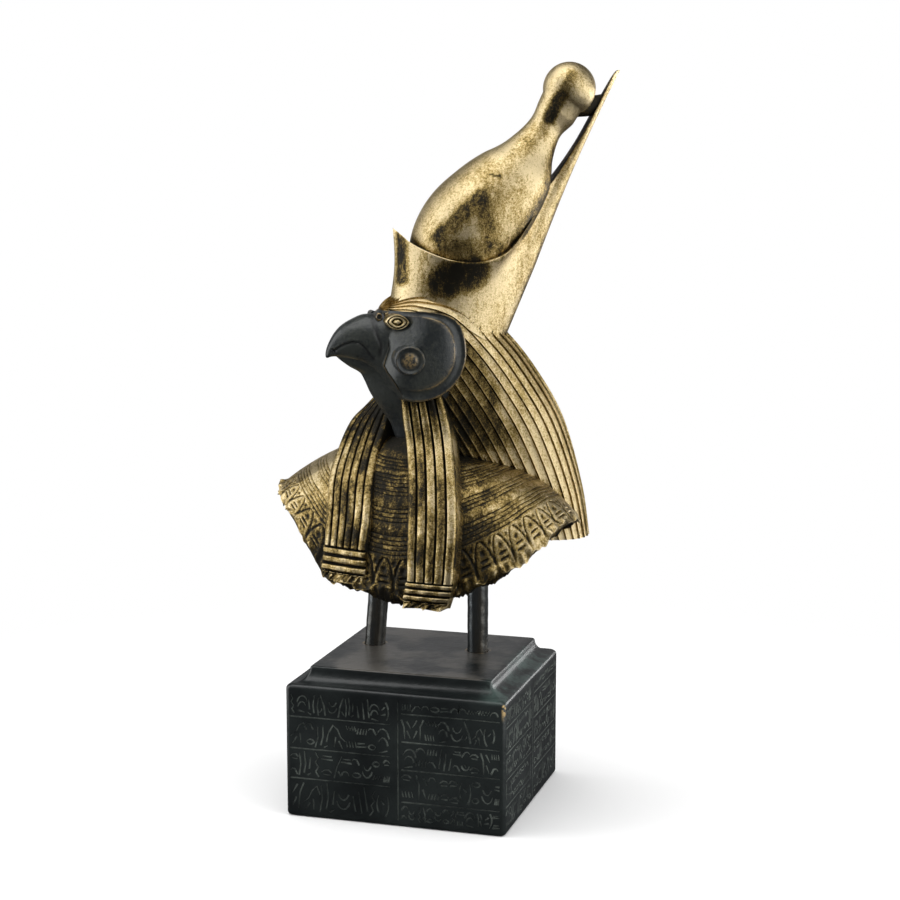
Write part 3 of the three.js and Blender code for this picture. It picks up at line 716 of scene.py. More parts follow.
# How much darker or lighter each strand is, from its left to its right as seen from the front
NEAR_TONES, FAR_TONES = (0.12, 0.2, 0.05, 0.14, -0.12), (0.0, 0.05, 0.1, 0.22, 0.15, 0.0)
# Share of the way down a strap, and how dark it is there: patina, and near the top painted shade
# under the lobe and the head
NEAR_DARK = ((0, 0.9), (0.08, 0.75), (0.15, 0.32), (0.35, 0.4), (0.55, 0.5), (0.85, 0.55), (0.95, 0.45),
             (1, 0.7))
FAR_DARK = ((0, 1.1), (0.3, 1.05), (0.42, 0.6), (0.6, 0.55), (0.85, 0.65), (0.95, 0.45), (1, 0.7))
BAND_START = 0.855
BAND_COUNT = 3


def strap(name, rows, tones, seed, dark_stations):
    t = np.concatenate([np.linspace(0, BAND_START - 0.01, 90), np.linspace(BAND_START - 0.005, 1, 56)])
    f, n, z, width, turn = (row[:, None] for row in through(rows, t).T)
    step, strands = 0.02, len(tones)
    behind, ahead = through(rows, t - step).T, through(rows, t + step).T
    slope = np.arctan2(ahead[0] - behind[0], behind[2] - ahead[2])[:, None]
    angle = np.radians(turn)
    places = np.array([(i + p) / strands for i in range(strands) for p in STRAP_PLACES] + [1.0])
    across = (2 * places - 1)[None, :]
    ridge = strand_cut((places * strands) % 1, 0.1)[None, :] + 0 * f
    ridge[:, -1] = 1
    dome = 0.5 * np.sin(np.pi * ((places * strands) % 1))[None, :]
    along = ((t - BAND_START) / (0.965 - BAND_START) * BAND_COUNT)[:, None]
    banded = smooth(along, -0.12, 0.05) * (1 - smooth(along, BAND_COUNT, BAND_COUNT + 0.15))
    groove = np.exp(-((np.minimum(along % 1, 1 - along % 1) / 0.16) ** 2))
    wobble = 0.25 * np.sin(across * 9 + 2 * np.floor(along)) * (1 - groove)
    bands = 1.6 - 1.6 * groove + wobble
    out = mix(STRAND_CUT * (1 - ridge) + dome, bands, banded)
    broken = smooth(along, BAND_COUNT, BAND_COUNT + 0.3)
    rng = np.random.default_rng(seed)
    rough = 0
    for _ in range(5):
        size = rng.uniform(0.3, 0.7)
        phase = across * rng.uniform(6, 26) + along * rng.uniform(3, 9) + rng.uniform(0, 6)
        rough = rough + size * np.sin(phase)
    out = mix(out, 0.1 - 0.6 * rough, broken)
    out = out + STRAP_BULGE * (1 - across**2) - 0.5 * np.abs(across) ** 12
    side, wide = (-np.sin(angle), np.cos(angle)), across * width / 2

    def at(offset, depth, drop=0.0):
        front = (np.cos(slope) * np.cos(angle), np.sin(angle), np.sin(slope) * np.cos(angle))
        return chest_point(
            f + side[0] * offset + front[0] * depth,
            n + side[1] * offset + front[1] * depth,
            z + front[2] * depth + drop,
        )

    ragged = 0.9 * rough * smooth(t, 0.975, 1)[:, None]
    front = at(wide, out, ragged)
    thick = -mix(STRAP_ROOT, STRAP_THICK, t)[:, None]
    back = at(width / 2 * np.array([STRAP_BACK]), thick)
    plain = np.zeros((len(t), len(STRAP_BACK)))
    cut = np.concatenate([mix(ridge, groove, banded) * (1 - broken), plain + SIDE_CUT], axis=1)
    cut[:, [0, len(places) - 1]] = SIDE_CUT
    strand = np.minimum((places * strands).astype(int), strands - 1)
    wave = np.sin(t[:, None] * rng.uniform(9, 26, strands)[strand] + rng.uniform(0, 6, strands)[strand])
    tone = np.array(tones)[strand][None, :] + 0.2 * wave
    tone = np.concatenate([tone * (1 - banded), plain], axis=1)
    shade = np.interp(t, *zip(*dark_stations))[:, None] + tone
    edges = 0.55 * np.exp(-(((np.abs(across) - 0.97) / 0.025) ** 2)) * (1 - banded)
    rub = 0.5 * strand_rub((places * strands) % 1)[None, :] * (1 - banded) + edges
    rub = rub + 0.4 * banded * (1 - groove)
    rub = np.concatenate([rub * (1 - broken), plain], axis=1)
    return form(name, np.concatenate([front, back], axis=1), cut=cut, rub=rub, shade=shade)


near_strap = told(strap("strap_near", NEAR_STRAP, NEAR_TONES, 3, NEAR_DARK))
far_strap = told(strap("strap_far", FAR_STRAP, FAR_TONES, 5, FAR_DARK))

# %% [markdown]
# ## Collar and shoulders
# The collar is a broad sheet that falls from the neck over the shoulders, so each point has two
# coordinates: a share of the way down, and an angle round the neck. Fine ring lines lie in groups
# with plain bands between them. The lowest zone is a border of pointed petals, each with a drilled
# dot and small marks, and it ends in the ragged edge of a find that has broken there.

# %% Collar surface
# Out from the neck and up, at four control points from the neck to the edge, in four directions
CAPE = {
    "front": ((23, 100), (39, 86), (54, 54), (60, 20)),
    "near": ((20, 91.5), (42, 88), (69.5, 79), (90.5, 58)),
    "far": ((19.1, 98), (43, 95), (70.7, 83), (92.6, 61)),
    "back": ((17, 96), (36, 92), (48, 72), (52, 46)),
}
# Angle round the neck in degrees, and height of the collar's edge there
EDGE_ROWS = (
    (-180, 46), (-90, 65), (-56, 62), (-42, 52), (-30, 37), (-22, 24), (0, 19), (11, 17.5), (32, 21.5),
    (43, 28.5), (55, 36), (66, 43.5), (75, 50.5), (90, 57.5), (180, 46),
)
UNDERSIDE = 24


def cape_point(s, angle):
    forward, sideways = np.cos(angle), np.sin(angle)
    w = 1 - s
    blend = (w**3, 3 * w * w * s, 3 * w * s * s, s**3)
    edge = np.interp(np.degrees(angle), *zip(*EDGE_ROWS))
    reach, spread, z = 0, 0, 0
    for k in range(4):
        end = np.where(forward > 0, CAPE["front"][k][0], CAPE["back"][k][0])
        end_z = np.where(forward > 0, CAPE["front"][k][1], CAPE["back"][k][1])
        reach = reach + blend[k] * end
        out, out_z = (np.where(sideways < 0, CAPE["far"][k][i], CAPE["near"][k][i]) for i in (0, 1))
        spread = spread + blend[k] * out
        z = z + blend[k] * (edge if k == 3 else mix(out_z, end_z, forward**2))
    square = np.abs(forward) ** 0.82 * np.sign(forward)
    return reach * square, spread * sideways, z


edge_heights = cape_point(1.0, np.radians([0, 90, 180, -90]))[2]
print("collar edge in front, near, behind and far:", np.round(edge_heights, 1))

# %% Ring lines and petals
RING_LINES = (
    0.215, 0.24, 0.265, 0.29, 0.335, 0.36, 0.385, 0.41, 0.44, 0.465, 0.545, 0.57, 0.595, 0.62, 0.695,
    0.72, 0.745, 0.77, 0.795,
)
RING_WIDTH = 0.0042
PETAL_START = 0.81
PETALS = 43


def petal_marks(s, angle):
    """Depth of the marks in the petal border, from 0 to 1."""
    a = (angle / (2 * np.pi) * PETALS) % 1 - 0.5
    h = (1 - s) / (1 - PETAL_START)
    arch = 0.5 * np.clip(1 - np.clip(h, 0, 1) ** 2.3, 0, 1) ** 0.62
    outline = bell(np.abs(a) - arch, 0.045) * (h < 0.99)
    dot = bell(np.hypot(a, (h - 0.66) * 1.3), 0.1)
    dash = bell(np.hypot(np.maximum(np.abs(a) - 0.16, 0), (h - 0.46) * 1.5), 0.05)
    dash_low = bell(np.hypot(np.maximum(np.abs(a) - 0.2, 0), (h - 0.3) * 1.5), 0.05)
    corner = 0.8 * bell(np.hypot(np.abs(a) - 0.5, (h - 0.84) * 1.5), 0.09)
    marks = np.clip(outline + dot + dash + dash_low + corner, 0, 1)
    return marks * smooth(s, PETAL_START - 0.02, PETAL_START) * smooth(h, 0.02, 0.2)


def ring_wander(s, angle):
    """How far the ring lines stray from true circles."""
    stray = 0.004 * np.sin(3 * angle) + 0.0015 * np.sin(19 * angle)
    return stray * smooth(s, 0.08, 0.2) * smooth(-s, -PETAL_START, -0.79)


def collar_marks(s, angle):
    rings = 0
    for place in RING_LINES:
        worn = 0.72 + 0.28 * np.sin(7 * angle + 50 * place) * np.sin(17 * angle + 90 * place)
        rings = rings + worn * bell(s - place, RING_WIDTH)
    return np.clip(rings, 0, 1), petal_marks(s, angle)


def collar_rows():
    """Rows of the collar, with three on each ring line so that the line is drawn cleanly."""
    rows = set(np.linspace(0.02, 0.2, 10))
    for place, after in zip(RING_LINES, RING_LINES[1:] + (PETAL_START,)):
        rows |= {place - 0.005, place, place + 0.005}
        rows |= set(np.linspace(place + 0.005, after - 0.005, 2 + int((after - place) > 0.04))[1:-1])
    return np.concatenate([sorted(rows), np.linspace(PETAL_START, 1, 34)])


print("ring lines:", len(RING_LINES), "petals round the collar:", PETALS, "rows:", len(collar_rows()))

# %% Torso
# Angle round the neck in degrees, and how dark the collar is made there
COLLAR_DARK = ((-180, 0.4), (-90, 0.15), (-62, 0.0), (-45, 0.2), (-25, 0.72), (8, 0.75), (26, 0.7),
               (42, 0.7), (56, 0.58), (68, 0.42), (80, 0.24), (100, 0.3), (180, 0.4))
# Rows under the collar's edge: share of its reach, and how far below the edge
UNDER_ROWS = ((0.985, 1.6), (0.955, 3.2), (0.92, 3.8), (0.87, 3.4), (0.82, 3))


def ragged(angle):
    wave = 1.6 * np.sin(9 * angle + 1) + 1.2 * np.sin(23 * angle) + 0.8 * np.sin(37 * angle + 2)
    return wave + 0.55 * np.sin(71 * angle + 1) + 0.3 * np.sin(113 * angle)


def torso():
    rng = np.random.default_rng(11)
    front = np.radians(np.linspace(-98, 98, 352))
    back = np.radians(np.linspace(98, 262, 92)[1:-1])
    angle = np.concatenate([front, back - 2 * np.pi * (back > np.pi)])
    s = collar_rows()
    grid_s, grid_a = np.meshgrid(s, angle, indexing="ij")
    f, n, z = cape_point(grid_s + ring_wander(grid_s, grid_a), grid_a)
    rings, petals = collar_marks(grid_s, grid_a)
    petals = petals * smooth(np.cos(grid_a), -0.3, -0.12)
    sink = 0.6 * rings + 0.85 * petals
    inward = 1 - sink / np.hypot(f, n)
    fray = ragged(grid_a) * smooth(grid_s, 0.93, 1)
    lumps = np.sin(61 * grid_a + 30 * grid_s) * np.sin(37 * grid_a - 55 * grid_s) * smooth(grid_s, 0.94, 0.98)
    inward = inward - 0.6 * lumps / np.hypot(f, n)
    outside = chest_point(f * inward, n * inward, z + fray)
    under = []
    rim_f, rim_n, rim_z = cape_point(np.ones_like(angle), angle)
    for share, fall in UNDER_ROWS:
        rough = 0.6 * ragged(angle + share) + rng.normal(0, 0.35, len(angle))
        under.append(chest_point(rim_f * share, rim_n * share, rim_z - fall + rough * smooth(share, 1, 0.95)))
    floor = chest_point(rim_f * 0.5, rim_n * 0.5, 0 * rim_f + UNDERSIDE)
    # The rows under the collar's edge are darkened as painted shadow under the overhang
    hidden = np.ones((len(UNDER_ROWS) + 1, len(angle)))
    cut = np.concatenate([np.maximum(rings, petals), 0.5 * hidden])
    degrees = np.degrees(grid_a)
    shade = np.interp(degrees, *zip(*COLLAR_DARK))
    # Painted shade on the collar next to the neck, under the wig's edge and under the throat
    near_neck = smooth(-grid_s, -0.42, -0.2) * smooth(degrees, 18, 34) * (degrees < 110)
    at_throat = smooth(-grid_s, -0.3, -0.1) * smooth(-np.abs(degrees), -40, -24)
    shade = np.maximum(shade, np.maximum(0.8 * near_neck, 1.1 * at_throat))
    shade = shade - 0.3 * smooth(grid_s, 0.8, 0.82) * smooth(degrees, 24, 60)
    torn = 0.4 * smooth(grid_s, 0.955, 1) * (0.5 + 0.5 * np.sin(31 * grid_a + 2) * np.sin(83 * grid_a))
    shade = np.concatenate([shade + torn, 0.85 * hidden])
    return form("torso", np.concatenate([outside, np.array(under), floor[None]]), cut=cut, shade=shade)


bust = told(torso())

# %% [markdown]
# ## One cast piece
# The real bust is one casting, so the forms are joined into one closed skin, and the sockets for the
# rods are cut out of it. Where two forms meet, the joint is a crease, as in the carving.

# %% Join the bust
ROD_RADIUS = 6
FIT_GAP = 0.3
ROD_SEAT = 10
ROD_TOP = BUST_FLOOR + 44
# Each rod: place on the plinth, and lean in degrees
RODS = {"rod_left": (-33.8, 9.4, 4.6), "rod_right": (28.2, 10.4, 0)}


def rod_rings(name, heights, radii, sides):
    x, y, lean = RODS[name]
    angle = turns(sides)
    rings = []
    for z, radius in zip(heights, radii):
        centre = x + (z - PLINTH_TOP) * math.tan(math.radians(lean))
        ring = [centre + radius * np.cos(angle), y + radius * np.sin(angle), z + 0 * angle]
        rings.append(np.stack(ring, axis=-1))
    return np.array(rings)


def rod_socket(name, low, high):
    rings = rod_rings(name, (low, high), (ROD_RADIUS + FIT_GAP,) * 2, 48)
    return form(name + "_socket", rings, drop=0)


for part in [hair, inner, outer, web, skull, neck, near_strap, far_strap] + details:
    combine(bust, part)
for name in RODS:
    combine(bust, rod_socket(name, PLINTH_TOP, ROD_TOP + FIT_GAP), "DIFFERENCE")
bust.name = "cast_bust"
mesh = told(bust).data

# %% [markdown]
# ## What the patina and the painted shade need to know
# Dark patina stays in the cuts and hollows, the hollows are darkened further as painted shade, and
# the rubbed gold shows on the ridges. Both can be measured on the finished skin: how many short rays
# from a point hit the piece itself, and how far its neighbours fall below its own level. Points that
# the joining made have no cut of their own, so they take the mean of their neighbours.

# %% Numbers on the points of a mesh


def read(mesh, label):
    values = np.empty(len(mesh.vertices), np.float32)
    mesh.attributes[label].data.foreach_get("value", values)
    return values


def write(mesh, label, values):
    layer = mesh.attributes.get(label) or mesh.attributes.new(label, "FLOAT", "POINT")
    layer.data.foreach_set("value", np.asarray(values, np.float32))


def points_and_normals(mesh):
    places, normals = np.empty(len(mesh.vertices) * 3), np.empty(len(mesh.vertices) * 3)
    mesh.vertices.foreach_get("co", places)
    mesh.vertices.foreach_get("normal", normals)
    return places.reshape(-1, 3), normals.reshape(-1, 3)


def edges_of(mesh):
    pairs = np.empty(len(mesh.edges) * 2, int)
    mesh.edges.foreach_get("vertices", pairs)
    return pairs.reshape(-1, 2)


print("edges of the bust:", len(edges_of(mesh)))

# %% Fill the points that the joining made


def fill_new_points(mesh):
    made = read(mesh, "made")
    pairs = edges_of(mesh)
    new = made < 0.99
    for label in ("cut", "rub", "shade"):
        values = read(mesh, label)
        a, b = pairs.T
        weight = np.bincount(a, ~new[b], len(values)) + np.bincount(b, ~new[a], len(values))
        total = np.bincount(a, values[b] * ~new[b], len(values))
        total += np.bincount(b, values[a] * ~new[a], len(values))
        values[new] = (total / np.maximum(weight, 1))[new]
        write(mesh, label, values)
    return int(new.sum())


print("points made by the joining:", fill_new_points(mesh))

# %% [markdown]
# Some dark places are no hollows. On the crowns they are painted reflections of the dark room,
# mixed with old patina, and on the wig beside and below the lobe they are painted shade. They could
# be painted by hand. Here each one is a line between two spots, and the points near it are darkened
# on both sides of the head, because a short list is easy to move and to read.

# %% Dark patches
# Forward and up of the two ends in the head's frame, radius, and strength
PATCHES = [
    ((9, 210), (-14, 233), 4, 0.72),
    ((-17, 207), (-15, 229), 4.2, 0.72),
    ((6, 205), (-22, 203), 5.5, 0.55),
    ((-25, 240), (-33, 215), 13, 0.24),
    ((-17, 235), (-51, 267), 4.5, 0.3),
    ((-57, 274), (-63.5, 287), 3, 0.75),
    ((-65, 290), (-69, 298), 2.6, 0.4),
    ((7, 187), (-8, 192), 8.5, 1.2),
    ((27, 213), (28, 187), 3, 1.0),
    ((17, 204), (17.5, 182), 2.6, 0.35),
    ((-19.7, 243.8), (-25, 243), 0.8, 0.9),
    ((-4, 145), (-16, 120), 9, 0.6),
    ((2, 118), (-20, 100), 11, 0.6),
    ((-22, 165), (-40, 130), 16, 0.22),
]
# The patches stay above this height and this far out from the middle of the face
PATCH_LOW, PATCH_FACE = 94, 5


def paint_patches(mesh):
    places = points_and_normals(mesh)[0] / MM - head_point(0, 0, 0) - [0, 0, BUST_FLOOR]
    forward = head_point(1, 0, 0) - head_point(0, 0, 0)
    spot = np.stack([places @ forward, places[:, 2]], axis=-1)
    side = np.abs(places @ HEAD_SIDE)
    shade = read(mesh, "shade")
    for start, end, radius, strength in PATCHES:
        near = 1 - smooth(distance_to_line(spot, [start, end]), radius * 0.5, radius * 1.6)
        near *= smooth(side, PATCH_FACE - 4, PATCH_FACE) * smooth(spot[:, 1], PATCH_LOW - 4, PATCH_LOW)
        shade = np.maximum(shade, strength * near)
    write(mesh, "shade", shade)


paint_patches(mesh)
print("dark patches:", len(PATCHES))

# %% Measure ridges and hollows
HOLLOW_REACH, HOLLOW_RAYS, QUICK_RAYS = 0.016, 18, 3


def spread_to_neighbours(values, pairs, rounds):
    count = np.bincount(pairs.ravel(), minlength=len(values))
    for _ in range(rounds):
        total = np.bincount(pairs[:, 0], values[pairs[:, 1]], len(values))
        total += np.bincount(pairs[:, 1], values[pairs[:, 0]], len(values))
        values = mix(values, total / np.maximum(count, 1), 0.5)
    return values


def ridge_of(mesh):
    places, normals = points_and_normals(mesh)
    pairs = edges_of(mesh)
    span = places[pairs[:, 1]] - places[pairs[:, 0]]
    length = np.maximum(np.linalg.norm(span, axis=1), 5e-5)
    fall = np.bincount(pairs[:, 0], -(normals[pairs[:, 0]] * span).sum(1) / length, len(places))
    fall += np.bincount(pairs[:, 1], (normals[pairs[:, 1]] * span).sum(1) / length, len(places))
    fall /= np.maximum(np.bincount(pairs.ravel(), minlength=len(places)), 1)
    return spread_to_neighbours(fall, pairs, 2)


def hollow_of(mesh, reach, rays):
    places, normals = points_and_normals(mesh)
    rng = np.random.default_rng(1)
    tree = BVHTree.FromPolygons(places.tolist(), [tuple(p.vertices) for p in mesh.polygons])
    spread = rng.normal(size=(rays, 3))
    spread /= np.linalg.norm(spread, axis=1, keepdims=True)
    blocked = np.zeros(len(places))
    for ray in spread:
        aim = normals * 1.05 + ray
        aim /= np.linalg.norm(aim, axis=1, keepdims=True)
        start = places + normals * 2e-4
        for i, (a, b) in enumerate(zip(start.tolist(), aim.tolist())):
            if tree.ray_cast(a, b, reach)[0] is not None:
                blocked[i] += 1
    return spread_to_neighbours(blocked / rays, edges_of(mesh), 1)


write(mesh, "ridge", ridge_of(mesh))
write(mesh, "hollow", hollow_of(mesh, HOLLOW_REACH, HOLLOW_RAYS))
print("sharpest ridge:", round(float(read(mesh, "ridge").max()), 2))
print("deepest hollow:", round(float(read(mesh, "hollow").max()), 2))

# %% Hand the bust over
mesh.shade_smooth()
mesh.set_sharp_from_angle(angle=math.radians(38))
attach(bust, "root")
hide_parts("bust")
print("handed over:", bust.name)

# %% [markdown]
# ## Plinth
# The plinth is a block with softly rounded edges and a low tier that a hollow cove joins to it. Its
# four sides carry rows of shallow incised strokes between ruled lines. The rows are decoration and
# say nothing: each group is picked at random from slants, waves, bows and hooks. Every stroke is a
# small closed bar, and a few cuts take them all out of the block.

# %% Plinth block
PLINTH_WIDTH, PLINTH_DEPTH, CORNER = 127, 119, 3
TIER_INSET = 11.2


def rounded_outline(inset, z, corner_points=8, side_points=10):
    x, y = PLINTH_WIDTH / 2 - inset, PLINTH_DEPTH / 2 - inset
    radius = CORNER * (1 - 0.45 * min(inset / TIER_INSET, 1))
    arcs = []
    for sx, sy, start in ((1, -1, -90), (1, 1, 0), (-1, 1, 90), (-1, -1, 180)):
        angle = np.radians(start + np.linspace(0, 90, corner_points))
        corner = [sx * (x - radius) + radius * np.cos(angle), sy * (y - radius) + radius * np.sin(angle)]
        arcs.append(np.stack(corner + [np.full(corner_points, z)], axis=-1))
    ring = []
    for k, bend in enumerate(arcs):
        shares = np.linspace(0, 1, side_points + 2)[1:-1, None]
        ring += [bend, mix(bend[-1], arcs[(k + 1) % 4][0], shares)]
    return np.concatenate(ring)


def plinth_profile():
    profile = [(2.2, 0), (1.2, 0.25), (0.45, 0.8), (0.1, 1.5), (0, 2.2), (0, 25), (0, 50), (0, 73.2)]
    profile += [(2.9 - 2.9 * math.cos(a), 73.2 + 2.8 * math.sin(a)) for a in np.radians([20, 40, 60, 80])]
    for share in np.linspace(0, 1, 9):
        turn = math.radians(90 * share)
        profile.append((3.2 + 7.6 * math.sin(turn), 76.05 + 7.3 * (1 - math.cos(turn))))
    profile += [(11.0, 83.75), (11.3, 84.15), (11.8, 84.35), (12.6, 84.4)]
    return profile


print("plinth profile points:", len(plinth_profile()))

# %% Strokes of the rows
RULE_WIDTH, STROKE_WIDTH, STROKE_DEPTH = 0.8, 0.95, 0.65
FACE_REACH = {0: PLINTH_DEPTH / 2, 1: PLINTH_WIDTH / 2, 2: PLINTH_DEPTH / 2, 3: PLINTH_WIDTH / 2}
TAPER = 0.55


def arc(start, end, count, cx=0.5, cy=0.5, rx=0.4, ry=0.4):
    turn = np.radians(np.linspace(start, end, count))
    return list(zip(cx + rx * np.cos(turn), cy + ry * np.sin(turn)))


# Each sign: its width as a share of its height, and its strokes on a unit square
TALL_SIGNS = [
    (0.4, [[(0.1, 0), (0.35, 0.5), (0.9, 1)], [(0.62, 0.3), (0.95, 0.12)]]),
    (0.75, [[(0, 0.1), (0.2, 1)], [(0.36, 0), (0.54, 0.8)], [(0.75, 0.05), (0.9, 0.6)]]),
    (0.7, [arc(170, 20, 7, rx=0.5, ry=0.45), arc(165, 30, 6, cy=0.2), [(0.2, 0.08), (0.8, 0)]]),
    (0.6, [arc(130, 225, 6, cx=0.75, rx=0.7, ry=0.6), [(0.5, 0.72), (0.8, 0.58)],
           [(0.45, 0.36), (0.9, 0.3)]]),
    (0.6, [[(0, 0), (0.16, 0.45), (0.1, 0.9)], [(0.42, 0.12), (0.56, 0.5), (0.5, 1)],
           [(0.86, 0.3), (0.98, 0.75)], [(0.7, 0.02), (0.95, 0.1)]]),
    (0.65, [arc(205, 335, 7, cy=0.62, rx=0.5, ry=0.5), arc(215, 325, 6, cy=0.98, rx=0.42, ry=0.5)]),
    (0.4, [[(0.2, 0), (0.6, 0.2), (0.25, 0.4), (0.65, 0.6), (0.3, 0.8), (0.6, 1)]]),
    (0.6, [arc(235, 150, 6, cx=0.6, rx=0.6, ry=0.6), arc(-40, 40, 5, cx=0.4, rx=0.6, ry=0.5),
           [(0.4, 0.5), (0.62, 0.62)]]),
    (0.75, [[(0, 0.62), (0.22, 0.88), (0.5, 0.74), (0.72, 0.44), (1, 0.3)], [(0.4, 0.42), (0.34, 0.06)],
            [(0.62, 0.28), (0.84, 0.02)]]),
    (0.55, [[(0.05, 0.95), (0.3, 0.62), (0.34, 0.05)], [(0.6, 0.9), (0.95, 0.6)],
            [(0.62, 0.42), (0.9, 0.1)]]),
]
LOW_SIGNS = [
    (1.9, [[(0, 0.2), (0.14, 0.8), (0.28, 0.2), (0.42, 0.8), (0.56, 0.2), (0.7, 0.8), (0.84, 0.2),
            (1, 0.8)]]),
    (1.9, [[(0, 0.2), (1, 0.3)], [(0.1, 0.75), (0.85, 0.8)]]),
    (1.5, [arc(15, 165, 7, cy=0.1, rx=0.5, ry=0.8)]),
    (1.5, [arc(195, 345, 7, cy=0.9, rx=0.5, ry=0.8), [(0.42, 0.85), (0.55, 0.6)]]),
    (1.5, [arc(160, 22, 6, cy=0.3, rx=0.5, ry=0.55), arc(203, 335, 6, cy=0.62, rx=0.5, ry=0.55)]),
    (1.9, [[(x, 0.1), (x + 0.08, 0.9)] for x in (0.02, 0.3, 0.58, 0.86)]),
    (1.7, [[(0, 0.5), (0.3, 0.9), (0.7, 0.85), (1, 0.5)], [(0.15, 0.1), (0.8, 0.15)]]),
    (1.4, [[(0, 0), (0.4, 0.8), (0.8, 0.85), (1, 0.6)]]),
]
print("kinds of sign:", len(TALL_SIGNS), "tall and", len(LOW_SIGNS), "low")

# %% Bars that cut the strokes


def bar(path, width, turn):
    """Closed bar along a path on a face: narrower inside than at the surface, and pointed at its end."""
    path = np.array(path, float)
    widths = width * (1 - TAPER * np.linspace(0, 1, len(path)) ** 1.5)
    step = np.gradient(path, axis=0)
    step /= np.maximum(np.linalg.norm(step, axis=1, keepdims=True), 1e-9)
    side = np.stack([-step[:, 1], step[:, 0]], axis=1)
    path[0] -= step[0] * width * 0.3
    path[-1] += step[-1] * width * 0.3
    reach = FACE_REACH[turn]
    points = []
    for spot, across, wide in zip(path, side, widths):
        for half, depth in ((-0.65, 0.5), (0.65, 0.5), (0.3, -STROKE_DEPTH), (-0.3, -STROKE_DEPTH)):
            x, z = spot + across * half * wide
            points.append((x, -(reach + depth), z))
    points = np.array(points)
    angle = math.radians(90 * turn)
    x = points[:, 0] * math.cos(angle) - points[:, 1] * math.sin(angle)
    y = points[:, 0] * math.sin(angle) + points[:, 1] * math.cos(angle)
    points = np.stack([x, y, points[:, 2]], axis=1)
    faces = [[0, 1, 2, 3], [len(points) - 1 - k for k in (0, 1, 2, 3)]]
    for i in range(0, len(points) - 4, 4):
        faces += [[i + k, i + 4 + k, i + 4 + (k + 1) % 4, i + (k + 1) % 4] for k in range(4)]
    return points, faces


print("points of a straight bar:", len(bar([(0, 10), (4, 14)], STROKE_WIDTH, 0)[0]))

# %% Rows of signs
SIGN_GAP, LEAST_SIGN, TALL_ROW = (0.35, 0.85), 2.2, 7.5


def sign(rng, kinds, x, base, tall, room):
    """Strokes of one sign that stands at x, and its width."""
    width, paths = kinds[int(rng.integers(len(kinds)))]
    wide = min(width * tall * rng.uniform(0.72, 0.98), room)
    lean = rng.uniform(-0.06, 0.1) * tall
    mirrored = rng.random() < 0.5
    strokes = []
    for steps in paths:
        places = [(1 - px if mirrored else px, py) for px, py in steps]
        strokes.append([(x + wide * px + lean * py, base + tall * py) for px, py in places])
    return strokes, wide


def row_of_signs(rng, left, right, low, high):
    signs, x, height = [], left, high - low
    while right - x > LEAST_SIGN:
        if height > TALL_ROW and rng.random() < 0.6:
            tall = height * rng.uniform(0.8, 0.98)
            base = low + (height - tall) * rng.uniform(0, 1)
            strokes, wide = sign(rng, TALL_SIGNS, x, base, tall, right - x)
            signs.append(strokes)
        else:
            levels = 2 if height > TALL_ROW else 1
            each = height / levels - (1.1 if levels == 2 else 0)
            wide = 0
            for level in range(levels):
                tall = min(each * rng.uniform(0.55, 0.85), 3.6)
                base = low + level * (each + 2.2) + (each - tall) * rng.uniform(0.2, 0.8)
                strokes, reach = sign(rng, LOW_SIGNS, x, base, tall, right - x)
                signs.append(strokes)
                wide = max(wide, reach)
        x += wide + rng.uniform(*SIGN_GAP)
    return signs


def face_signs(rng, turn):
    """Rules of a face, and its signs, each a list of strokes."""
    half = (PLINTH_WIDTH if turn % 2 == 0 else PLINTH_DEPTH) / 2 - 2.2
    # Each column has its two ends and the heights of its rules, and a line stands in the middle
    if turn == 0:
        columns, middle = [(-half, -1.2, (58, 39.8, 22.5)), (3.9, half, (64.7, 48.8, 32.8, 14.5))], 2.7
    else:
        columns, middle = [(-half, -0.6, (60.5, 46, 31, 16)), (3.2, half, (64, 49.5, 34.5, 19))], 1.4
    rules, signs = [[(middle, 4), (middle, 72)]], []
    for left, right, heights in columns:
        rules += [[(left + 0.9, z), (right - 0.9, z)] for z in heights]
        levels = (72.6,) + heights + (2.4,)
        for high, low in zip(levels[:-1], levels[1:]):
            signs += row_of_signs(rng, left + 0.9, right - 1.0, low + 1.5, high - 1.5)
    return rules, signs


print("signs on one face, for example:", len(face_signs(np.random.default_rng(0), 0)[1]))

# %% Cut the plinth
plinth_finishes = [bpy.data.materials.new("plinth_" + part + "_finish") for part in ("patina", "stroke")]


def cut_bars(block, bars):
    points, faces, start = [], [], 0
    for path, width, turn in bars:
        new_points, new_faces = bar(path, width, turn)
        points.append(new_points)
        faces += [[start + k for k in face] for face in new_faces]
        start += len(new_points)
    combine(block, solid("strokes", np.concatenate(points), faces, plinth_finishes, 1), "DIFFERENCE")


def plinth():
    profile = plinth_profile()
    rings = np.array([rounded_outline(inset, z) for inset, z in profile])
    count = rings.shape[1]
    faces = []
    for start in range(0, (len(profile) - 1) * count, count):
        pairs = [(start + c, start + (c + 1) % count) for c in range(count)]
        faces += [[a, b, b + count, a + count] for a, b in pairs]
    last = (len(profile) - 1) * count
    faces += [list(range(count))[::-1], list(range(last, last + count))]
    block = solid("plinth_block", rings.reshape(-1, 3), faces, plinth_finishes)
    rng = np.random.default_rng(29)
    rules, passes = [], [[], [], [], []]
    for turn in range(4):
        face_rules, signs = face_signs(rng, turn)
        rules += [(path, RULE_WIDTH, turn) for path in face_rules]
        for strokes in signs:
            for k, path in enumerate(strokes):
                passes[k].append((path, STROKE_WIDTH * rng.uniform(0.8, 1.15), turn))
    for bars in [rules] + passes:
        cut_bars(block, bars)
    print("strokes cut:", sum(len(bars) for bars in passes), "rules:", len(rules))
    for name in RODS:
        combine(block, rod_socket(name, PLINTH_TOP - ROD_SEAT - FIT_GAP, PLINTH_TOP + 5), "DIFFERENCE")
    return block


